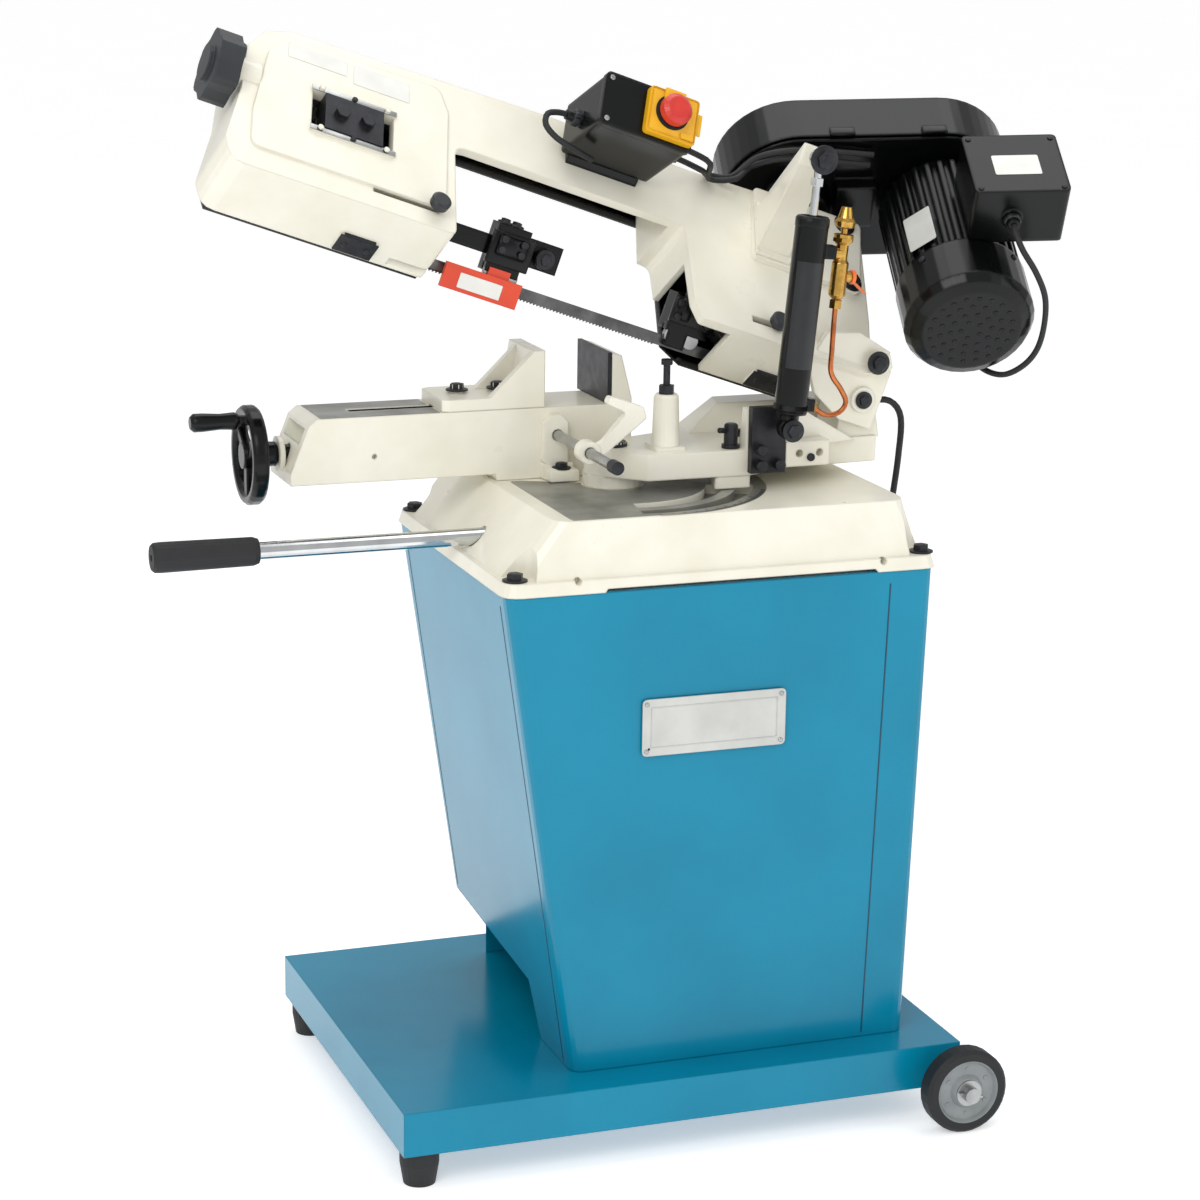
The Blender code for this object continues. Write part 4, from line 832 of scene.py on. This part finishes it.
    def angle_marks(self) -> None:
        """Plain lines of the mitre scale, longer at each fifth and tenth."""
        centre = Vector((*PIVOT, BASE_TOP_Z + 0.3))
        marks = []
        for step in range(self.scale_degrees):
            angle = math.radians(-92.0 + step)
            length = 10.0 if step % 10 == 0 else (7.0 if step % 5 == 0 else 4.5)
            out = Vector((math.cos(angle), math.sin(angle), 0))
            across = Vector((-out.y, out.x, 0)) * 0.35
            near = centre + out * (self.scale_radius - length)
            far = centre + out * self.scale_radius
            marks.append(thin_sheet((near - across, far - across, far + across, near + across), 0.15))
        piece(merged(marks), "angle_marks", SHADOW, Body.BASE)

    def vise(self) -> None:
        """Bolts of the jaws and the cast pad at the vise's foot."""
        screws = []
        for x in (165.0, 214.0):
            screws += flange_bolt((x, 338.0, 822.6), (0, 0, 1), 7.6)
        piece(merged(screws), "jaw_bolts", OXIDE, Body.JAW, 30.0)
        pad = [block(253.0, 289.0, 262.0, 292.4, 724.1, 738.0, 2.5),
               turned([(0.0, 13.6), (0.7, 13.4), (1.2, 12.6)], (270.0, 276.0, 738.0), (0, 0, 1), 32)]
        piece(merged(pad), "vise_foot_pad", CREAM, Body.BASE, 40.0)
        near = flange_bolt((270.0, 273.0, 738.0), (0, 0, 1), 6.6)
        near.append(turned([(0, 7.6), (16, 7.6), (18, 6.4)], (268.0, 84.0, 775.5), (0, 1, 0), 20))
        piece(merged(near), "vise_screws", OXIDE, Body.BASE, 30.0)

    def bed(self) -> None:
        """Milled top of the vise bed, and painted shade lining its slot."""
        top = self.bed_top
        faces = [thin_sheet(((x0, y0, top), (x1, y0, top), (x1, y1, top), (x0, y1, top)), 0.12)
                 for x0, x1, y0, y1 in ((-8, 132, 294, 329), (-8, 132, 347, 382), (-8, 34, 329, 347))]
        piece(merged(faces), "ground_bed", GROUND, Body.BASE)
        # Dark sheets on the slot's floor and walls: painted shade where the recess lies in shadow.
        x0, x1, floor, rim = 36, 249, self.slot_bottom, 804.6
        slot = [thin_sheet(((x0, 330.4, floor), (x1, 330.4, floor), (x1, 345.6, floor), (x0, 345.6, floor)), 0.3),
                thin_sheet(((x0, 330.3, floor), (x0, 330.3, rim), (x1, 330.3, rim), (x1, 330.3, floor)), 0.15),
                thin_sheet(((x0, 345.7, floor), (x1, 345.7, floor), (x1, 345.7, rim), (x0, 345.7, rim)), 0.15)]
        piece(merged(slot), "bed_slot_painted_shade", SHADOW, Body.BASE)


@dataclass(frozen=True)
class SwivelTrim:
    """Screws on the swivel arm, bolts of the cylinder's bracket and the cap of the pivot."""

    plate_y: float = 159.9
    plate_screws: tuple[tuple[float, float], ...] = ((470, 770), (492, 752), (470, 752))
    cap_z: float = 768.0

    def build(self) -> None:
        """Make the pieces."""
        parts = []
        for x, z in self.plate_screws:
            parts += socket_screw((x, self.plate_y, z), (0, -1, 0), 6.4, 5.0)
        parts += flange_bolt((493.0, 126.2, 797.0), (0, -1, 0), 7.5)
        parts += socket_screw((534.0, 168.0, 757.0), (0, -1, 0), 4.6, 3.0)
        parts += flange_bolt((480.0, 260.0, 768.2), (0, 0, 1), 6.5)
        piece(merged(parts), "arm_screws", OXIDE, Body.SWIVEL, 30.0)
        cap = [(0.0, 16.6), (3.6, 16.6), (3.6, 15.2), (5.6, 14.8)]
        piece(turned(cap, (*PIVOT, self.cap_z), (0, 0, 1), 32), "pivot_cap", OXIDE, Body.SWIVEL, 30.0)


@dataclass(frozen=True)
class HeadTrim:
    """Blank labels, dark bolts, guide rollers, latches and blade teeth on the head."""

    label_gap: float = 3.15
    pad_gap: float = 7.2
    blade_edge_z: float = -16.4
    blade_y: float = -1.03
    blade_half: float = 0.42
    tooth_pitch: float = 4.2
    tooth_depth: float = 1.9
    tooth_set: float = 0.12
    cut_from: float = -530.0
    cut_length: float = 288.0

    def build(self) -> None:
        """Make the pieces."""
        self.bow_labels()
        self.bolts()
        self.tension_window()
        self.left_guide()
        self.right_guide()
        self.teeth()

    def bow_labels(self) -> None:
        """Two blank stickers on the bow's front face."""
        y = -(FACE_W + self.label_gap)
        sheets = [thin_sheet(((left, y, low), (right, y, low), (right, y, 171), (left, y, 171)))
                  for left, right, low in ((-742, -672, 150), (-664, -596, 143))]
        piece(merged(sheets), "bow_labels", LABEL, Body.HEAD, matrix=BOW_MATRIX)

    def bolts(self) -> None:
        """Bolts of the casting's pads and hinge, the rod's pin and the latches of the rear cover."""
        pads = []
        for a, v in ((30, 190), (26, 104)):
            pads += flange_bolt((-a, -(FACE_W + self.pad_gap), v), (0, -1, 0), 8.0)
        piece(merged(pads), "pad_bolts", OXIDE, Body.HEAD, 30.0, BOW_MATRIX)
        latches = []
        for low, high in ((602, 647), (84, 128)):
            latches.append(block(-high, -low, -23, 3, -24.4, -22.2, 0.4))
            latches.append(block(-high + 4, -low - 4, -24.6, -22.9, -23.5, -8.0, 0.3))
            for a in (low + 9, high - 9):
                latches.append(turned([(0, 3.4), (1.2, 3.2), (2.0, 1.8)], (-a, -10, -24.3), (0, 0, -1), 14))
        piece(merged(latches), "cover_latches", OXIDE, Body.HEAD, 30.0, BOW_MATRIX)
        pin = flange_bolt((-181.6, -137.6, 239.0), (0, -1, 0), 9.6)
        pin.append(turned([(0, 12.6), (3, 12.6)], (-181.6, -130.8, 239.0), (0, -1, 0), 24))
        piece(merged(pin), "rod_pin_bolt", OXIDE, Body.HEAD, 30.0, HEAD_MATRIX)
        hinge = flange_bolt((0.0, -69.8, 46.0), (0, -1, 0), 8.0) + flange_bolt((0.0, -66.2, 0.0), (0, -1, 0), 6.0)
        piece(merged(hinge), "hinge_bolts", OXIDE, Body.HEAD, 30.0, HEAD_MATRIX)

    def tension_window(self) -> None:
        """Bright gib faces above and below the tension block, with their screws."""
        gibs = [block(-713.2, -612.4, -(FACE_W + 6.9), -(FACE_W + 5.95), low, high, 0.3)
                for low, high in ((112.2, 119.4), (54.6, 61.8))]
        piece(merged(gibs), "gib_faces", STEEL, Body.HEAD, 30.0, BOW_MATRIX)
        screws = []
        for a in (702, 663, 624):
            for v in (116.0, 58.2):
                screws += socket_screw((-a, -(FACE_W + 6.8), v), (0, -1, 0), 3.3, 2.6)
        piece(merged(screws), "gib_screws", OXIDE, Body.HEAD, 30.0, BOW_MATRIX)

    def left_guide(self) -> None:
        """Plates, screws and rollers of the sliding guide, and the blank label of its guard."""
        plates = [block(-476, -424, -17.5, -10.4, 12, 50, 2.0), block(-468, -432, -19.5, -17.3, 24, 46, 1.2)]
        piece(merged(plates), "guide_arm_face", BLACK, Body.LEFT_GUIDE, 40.0, HEAD_MATRIX)
        screws = []
        for x, z in ((-462, 30), (-438, 30), (-462, 42), (-438, 42)):
            screws += socket_screw((x, -19.4, z), (0, -1, 0), 4.2, 3.6)
        screws += flange_bolt((-405, -9.0, 34), (0, -1, 0), 6.6)
        for x in (-446, -460):
            screws += flange_bolt((x, 3.0, 58.2), (0, 0, 1), 5.2)
        piece(merged(screws), "guide_screws", OXIDE, Body.LEFT_GUIDE, 30.0, HEAD_MATRIX)
        bearing = [(-9.2, 4.0), (-9.2, 11.0), (-8.4, 11.6), (-3.0, 11.6), (-2.4, 11.0), (-2.4, 4.0)]
        rollers = [turned(bearing, (x, 0, 1.5), (0, 1, 0), 28) for x in (-459, -440)]
        piece(merged(rollers), "guide_rollers", STEEL, Body.LEFT_GUIDE, 30.0, HEAD_MATRIX)
        y = -17.75
        label = thin_sheet(((-498, y, -25), (-446, y, -25), (-446, y, -8), (-498, y, -8)), 0.3)
        piece(label, "guard_label", LABEL, Body.LEFT_GUIDE, matrix=HEAD_MATRIX)

    def right_guide(self) -> None:
        """Plates, screws and rollers of the fixed guide."""
        plates = [block(-243, -186, -19.0, -11.3, 14, 46, 2.0), block(-232, -222, -22, -11.3, 20, 62, 1.5)]
        piece(merged(plates), "right_guide_face", BLACK, Body.RIGHT_GUIDE, 40.0, HEAD_MATRIX)
        screws = []
        for x, z in ((-236, 38), (-196, 38), (-236, 22), (-196, 22)):
            screws += socket_screw((x, -18.9, z), (0, -1, 0), 4.2, 3.6)
        screws += flange_bolt((-227, -22.0, 55), (0, -1, 0), 5.6)
        piece(merged(screws), "right_guide_screws", OXIDE, Body.RIGHT_GUIDE, 30.0, HEAD_MATRIX)
        bearing = [(-9.2, 4.0), (-9.2, 10.0), (-3.0, 10.6), (-2.4, 4.0)]
        rollers = [turned(bearing, (x, 0, -0.5), (0, 1, 0), 28) for x in (-229, -206)]
        piece(merged(rollers), "right_guide_rollers", STEEL, Body.RIGHT_GUIDE, 30.0, HEAD_MATRIX)

    def teeth(self) -> None:
        """Teeth below the blade, hooked and set to alternate sides, over the cutting length."""
        mesh = bmesh.new()
        edge = self.blade_edge_z
        for index in range(int(self.cut_length / self.tooth_pitch)):
            x = self.cut_from + index * self.tooth_pitch
            lean = self.tooth_set if index % 2 else -self.tooth_set
            shape = ((x, edge + 0.5), (x + self.tooth_pitch, edge + 0.5), (x + 1.1, edge - self.tooth_depth))
            skin(mesh, [[mesh.verts.new((px, self.blade_y + side + (lean if pz < edge else 0), pz)) for px, pz in shape]
                        for side in (-self.blade_half, self.blade_half)])
        piece(mesh, "blade_teeth", BLADE, Body.HEAD, 20.0, HEAD_MATRIX)


@dataclass(frozen=True)
class SwitchTrim:
    """Yellow lid with its flap, the button's collar and the screws of the switch box."""

    button: tuple[float, float, float] = (23.0, -10.5, 34.0)
    screw_x: float = -50.0

    def build(self) -> None:
        """Make the pieces."""
        lid = [block(-4.0, 54.0, -10.6, -9.2, 6.0, 58.0, 2.5), block(10.0, 36.0, -15.0, -10.5, 44.0, 60.5, 2.0)]
        piece(merged(lid), "switch_lid", YELLOW, Body.HEAD, 40.0, SWITCH_MATRIX)
        collar = turned([(0, 20.5), (1.2, 20.5), (1.8, 18.6), (1.8, 12.0)], self.button, (0, -1, 0), 36)
        piece(collar, "stop_button_collar", SHADOW, Body.HEAD, 30.0, SWITCH_MATRIX)
        flap = [block(56.0, 63.0, -6.0, -3.5, 20.0, 46.0, 1.0),
                turned([(0, 1.5), (0.4, 1.8), (23.6, 1.8), (24, 1.5)], (57.2, -5.4, 21.0), (0, 0, 1), 16)]
        piece(merged(flap), "switch_flap", YELLOW, Body.HEAD, 40.0, SWITCH_MATRIX)
        screws = []
        for z in (6.0, 56.0):
            screws += socket_screw((self.screw_x, -0.1, z), (0, -1, 0), 3.2, 1.6)
        piece(merged(screws), "switch_screws", STEEL, Body.HEAD, 30.0, SWITCH_MATRIX)


@dataclass(frozen=True)
class DriveTrim:
    """Painted shade for the holes of the fan cover, blank plates, screws and clips on the motor and its belt cover."""

    motor_x: float = 170.0
    fan_face_y: float = -240.25
    hole_rings: tuple[tuple[int, float], ...] = ((5, 12.0), (10, 24.0), (15, 36.0), (20, 48.0))
    hole_radius: float = 3.1
    cowl_radius: float = 74.0

    def build(self) -> None:
        """Make the pieces."""
        # Flat dark matt discs on the fan cover's face: painted shade standing for its holes.
        painted_hole_shades = []
        for count, radius in self.hole_rings:
            for step in range(count):
                angle = 2 * math.pi * step / count + radius
                seat = (self.motor_x + radius * math.cos(angle), self.fan_face_y, radius * math.sin(angle))
                painted_hole_shades.append(turned([(0, self.hole_radius), (0.3, self.hole_radius)], seat, (0, -1, 0), 12))
        piece(merged(painted_hole_shades), "fan_hole_painted_shade", SHADOW, Body.HEAD, 30.0, DRIVE_MATRIX)
        z = 146.2
        label = thin_sheet(((196, -140, z), (250, -140, z), (250, -106, z), (196, -106, z)), 0.3)
        piece(label, "terminal_label", LABEL, Body.HEAD, matrix=DRIVE_MATRIX)
        screws = []
        for x in (175, 271):
            for y in (-163, -76):
                screws += socket_screw((x, y, 145.9), (0, 0, 1), 3.4, 1.8)
        for step in range(4):
            angle = math.radians(45 + 90 * step)
            out = Vector((math.cos(angle), 0.0, math.sin(angle)))
            seat = Vector((self.motor_x, -176.0, 0.0)) + out * self.cowl_radius
            screws.append(turned([(0, 4.2), (3.4, 4.0), (4.0, 2.6)], seat, out, 16))
        piece(merged(screws), "motor_screws", OXIDE, Body.HEAD, 30.0, DRIVE_MATRIX)
        plate = thin_sheet(((107.0, -156, 47.4), (107.0, -100, 47.4), (134.4, -100, 70.0), (134.4, -156, 70.0)), 0.5)
        piece(plate, "motor_plate", PLATE, Body.HEAD, matrix=DRIVE_MATRIX)
        clips = [block(x0, x1, 2.4, 15, 91.6, 96.4, 1.0) for x0, x1 in ((32, 62), (142, 172))]
        piece(merged(clips), "cover_clips", BLACK, Body.HEAD, 30.0, DRIVE_MATRIX)


@dataclass(frozen=True)
class FeedTrim:
    """Copper line, fittings, end caps and blank label of the feed cylinder."""

    foot: tuple[float, float, float] = (493.0, 141.0, 797.0)
    top: tuple[float, float, float] = (522.0, 141.0, 1098.6)
    line_radius: float = 3.0
    line: tuple[Point, ...] = (
        (40, 0, 150), (40, 0, 140), (41, 0, 118), (42, -1, 92), (44, -2, 66), (58, -3, 48), (66, -3, 34),
        (60, -2, 22), (44, -1, 18), (30, 0, 24), (22, 0, 27),
    )
    label_radius: float = 18.85
    label_z: tuple[float, float] = (70.0, 190.0)
    label_degrees: tuple[float, float] = (-150.0, -38.0)

    def build(self) -> None:
        """Make the pieces in the tilted frame of the cylinder."""
        lean = math.atan2(self.top[0] - self.foot[0], self.top[2] - self.foot[2])
        frame = FRAME_MATRIX @ Matrix.Translation(self.foot) @ Matrix.Rotation(lean, 4, "Y")
        line = smooth_path([Vector(mark) for mark in self.line], 4.0)
        piece(tube(line, self.line_radius, 12), "copper_line", COPPER, Body.CYLINDER, 60.0, frame)
        nuts = [turned([(0, 7.4), (9, 7.4), (10, 6.2)], (40, 0, 139), (0, 0, 1), 6),
                turned([(0, 6.8), (9, 6.8), (10, 5.6)], (20, 0, 27.5), (1, 0, 0), 6),
                turned([(0, 6.6), (8, 6.6)], (40, 0, 186), (0, 0, 1), 6),
                turned([(0, 12.4), (4, 12.4), (4.6, 11.6)], (40, 0, 214.0), (0, 0, 1), 6)]
        piece(merged(nuts), "line_nuts", BRASS, Body.CYLINDER, 30.0, frame)
        ends = [turned([(0, 19.3), (9, 19.3), (10, 18.6)], (0, 0, 228), (0, 0, 1), 40),
                turned([(0, 19.3), (8, 19.3), (-0.6, 18.6)], (0, 0, 20), (0, 0, 1), 40)]
        piece(merged(ends), "cylinder_caps", BLACK, Body.CYLINDER, 30.0, frame)
        sleeve = bmesh.new()
        start, end = self.label_degrees
        skin(sleeve, [arc_ring(sleeve, (0.0, 0.0), self.label_radius, self.label_radius + 0.3, *self.label_z,
                               start + (end - start) * step / 24) for step in range(25)])
        piece(sleeve, "cylinder_label", LABEL_DARK, Body.CYLINDER, 40.0, frame)


@dataclass(frozen=True)
class HeadCables:
    """Cables that stay on the head: switch to motor, and the loop under the switch."""

    radius: float = 3.5
    gland: tuple[tuple[float, float], ...] = ((0, 10.2), (7, 10.2), (8, 9.0))

    def cable(self, marks: Sequence[Vector], spacing: float) -> Mesh:
        """One cable along a smooth line.

        Args:
            marks: points that it passes through, in the head's mm.
            spacing: about how far apart its rings lie.

        Returns:
            The bmesh.
        """
        return tube(smooth_path(marks, spacing), self.radius, 10)

    def build(self) -> None:
        """Make the cables and the nuts of their glands."""
        to_head = HEAD_MATRIX.inverted()
        switch = to_head @ SWITCH_MATRIX
        drive = to_head @ DRIVE_MATRIX
        bow = to_head @ BOW_MATRIX
        upper = (
            [switch @ Vector(mark) for mark in ((70, 40, 24), (84, 40, 23), (104, 44, 20))]
            + [bow @ Vector(mark) for mark in ((-216, -86, 184), (-186, -94, 190))]
            + [drive @ Vector(mark) for mark in ((-60, -16, 66), (-20, -14, 74), (24, -14, 70), (80, -12, 60))]
        )
        lower = (
            [switch @ Vector(mark) for mark in ((70, 66, 24), (84, 66, 23), (106, 66, 20))]
            + [bow @ Vector(mark) for mark in ((-214, -80, 196), (-186, -86, 200))]
            + [drive @ Vector(mark) for mark in ((-56, -16, 78), (-16, -12, 84), (30, -10, 80), (84, -8, 72))]
        )
        loop = [switch @ Vector(mark) for mark in ((-72, 60, 26), (-82, 60, 25), (-96, 58, 18), (-98, 54, 2),
                                                   (-84, 52, -10), (-60, 56, -14), (-30, 70, -12))]
        motor = [drive @ Vector(mark) for mark in (
            (214, -185, 108), (214, -196, 107), (220, -216, 98), (236, -230, 76), (250, -236, 44), (254, -240, 6),
            (250, -244, -28), (236, -246, -52), (216, -238, -72), (196, -212, -82), (180, -170, -82))]
        cables = [self.cable(upper, 6.0), self.cable(lower, 6.0), self.cable(loop, 5.0), self.cable(motor, 5.0)]
        piece(merged(cables), "head_cables", RUBBER, Body.HEAD, 60.0, HEAD_MATRIX)
        nut = turned([(0, 10.4), (7, 10.4), (8, 9.2)], (214, -170.5, 108), (0, -1, 0), 6)
        piece(nut, "terminal_gland_nut", DARK_PLASTIC, Body.HEAD, 30.0, DRIVE_MATRIX)
        ends = [turned(self.gland, (57.2, y, 24), (1, 0, 0), 6) for y in (40, 66)]
        ends.append(turned(self.gland, (-57.2, 60, 26), (-1, 0, 0), 6))
        piece(merged(ends), "switch_gland_nuts", DARK_PLASTIC, Body.HEAD, 30.0, SWITCH_MATRIX)


@dataclass(frozen=True)
class Stage:
    """Floor, light and camera."""

    camera_at: tuple[float, float, float] = (-905.2, -3032.1, 1466.0)
    right: tuple[float, float, float] = (0.9386, -0.3445, 0.0142)
    up: tuple[float, float, float] = (0.0712, 0.2338, 0.9697)
    lens: float = 93.87
    shift_x: float = -0.00125
    floor_half: float = 60.0
    floor_glow: float = 0.42
    sky: float = 0.62
    lamps: tuple = (
        ("key", (-2.2, -2.6, 3.2), 2.2, 62.0, (1.0, 0.985, 0.96)),
        ("fill", (2.8, -2.4, 1.8), 2.4, 20.0, (0.95, 0.975, 1.0)),
        ("top", (0.3, 0.6, 3.4), 2.4, 34.0, (1.0, 1.0, 1.0)),
    )
    lamps_aim: tuple[float, float, float] = (0.0, 0.0, 0.75)

    def build(self) -> None:
        """Make the stage."""
        self.floor()
        self.lights()
        self.camera()

    def floor(self) -> None:
        """Wide pale sheet that glows a little, so that it stays white far from the lights."""
        mesh = bmesh.new()
        half = self.floor_half
        corners = ((-half, -half), (half, -half), (half, half), (-half, half))
        mesh.faces.new([mesh.verts.new((x, y, 0.0)) for x, y in corners])
        data = bpy.data.meshes.new("studio_floor")
        mesh.to_mesh(data)
        mesh.free()
        data.shade_smooth()
        made = bpy.data.materials.new("pale_floor")
        made.use_nodes = True
        tree = made.node_tree
        place = add(tree, "ShaderNodeTexCoord").outputs["Object"]
        noise = add(tree, "ShaderNodeTexNoise", {"Vector": place}, Scale=2.0, Detail=2.0)
        tone = add(tree, "ShaderNodeMix", {"Factor": noise.outputs["Fac"]}, data_type="RGBA")
        tone.inputs[6].default_value = (0.93, 0.93, 0.93, 1.0)
        tone.inputs[7].default_value = (0.90, 0.90, 0.905, 1.0)
        shader = tree.nodes["Principled BSDF"]
        tree.links.new(tone.outputs[2], shader.inputs["Base Color"])
        shader.inputs["Roughness"].default_value = 0.9
        shader.inputs["Emission Color"].default_value = (1.0, 1.0, 1.0, 1.0)
        shader.inputs["Emission Strength"].default_value = self.floor_glow
        data.materials.append(made)
        sheet = bpy.data.objects.new("studio_floor", data)
        bpy.context.scene.collection.objects.link(sheet)

    def lights(self) -> None:
        """Three large soft lamps and a white surround."""
        for name, place, size, power, tint in self.lamps:
            data = bpy.data.lights.new(name, "AREA")
            data.size = size
            data.energy = power
            data.color = tint
            lamp = bpy.data.objects.new(name, data)
            lamp.location = place
            aim = Vector(self.lamps_aim) - Vector(place)
            lamp.rotation_euler = aim.to_track_quat("-Z", "Y").to_euler()
            bpy.context.scene.collection.objects.link(lamp)
        world = bpy.data.worlds.new("studio")
        world.use_nodes = True
        sky = world.node_tree.nodes["Background"]
        sky.inputs["Color"].default_value = (1.0, 1.0, 1.0, 1.0)
        sky.inputs["Strength"].default_value = self.sky
        bpy.context.scene.world = world
        bpy.context.scene.view_settings.view_transform = "Standard"

    def camera(self) -> None:
        """Camera a little above the bed, to the left of the operator."""
        data = bpy.data.cameras.new("camera")
        data.lens = self.lens
        data.sensor_width = 36.0
        data.shift_x = self.shift_x
        data.clip_end = 60.0
        made = bpy.data.objects.new("camera", data)
        right = Vector(self.right).normalized()
        up = Vector(self.up)
        up = (up - right * up.dot(right)).normalized()
        turn = Matrix((right, up, right.cross(up))).transposed().to_4x4()
        made.matrix_world = Matrix.Translation((Vector(self.camera_at) - ORIGIN) * MM) @ turn
        bpy.context.scene.collection.objects.link(made)
        bpy.context.scene.camera = made


def main() -> None:
    """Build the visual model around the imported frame, in order."""
    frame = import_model()
    Stage().build()
    CadFinishes(frame).apply()
    for part in (MainsLead(), StandTrim(), SwivelTrim(), HeadTrim(), SwitchTrim(), DriveTrim(), FeedTrim(),
                 HeadCables()):
        LOG.info("building %s", type(part).__name__)
        part.build()


if __name__ == "__main__":
    main()
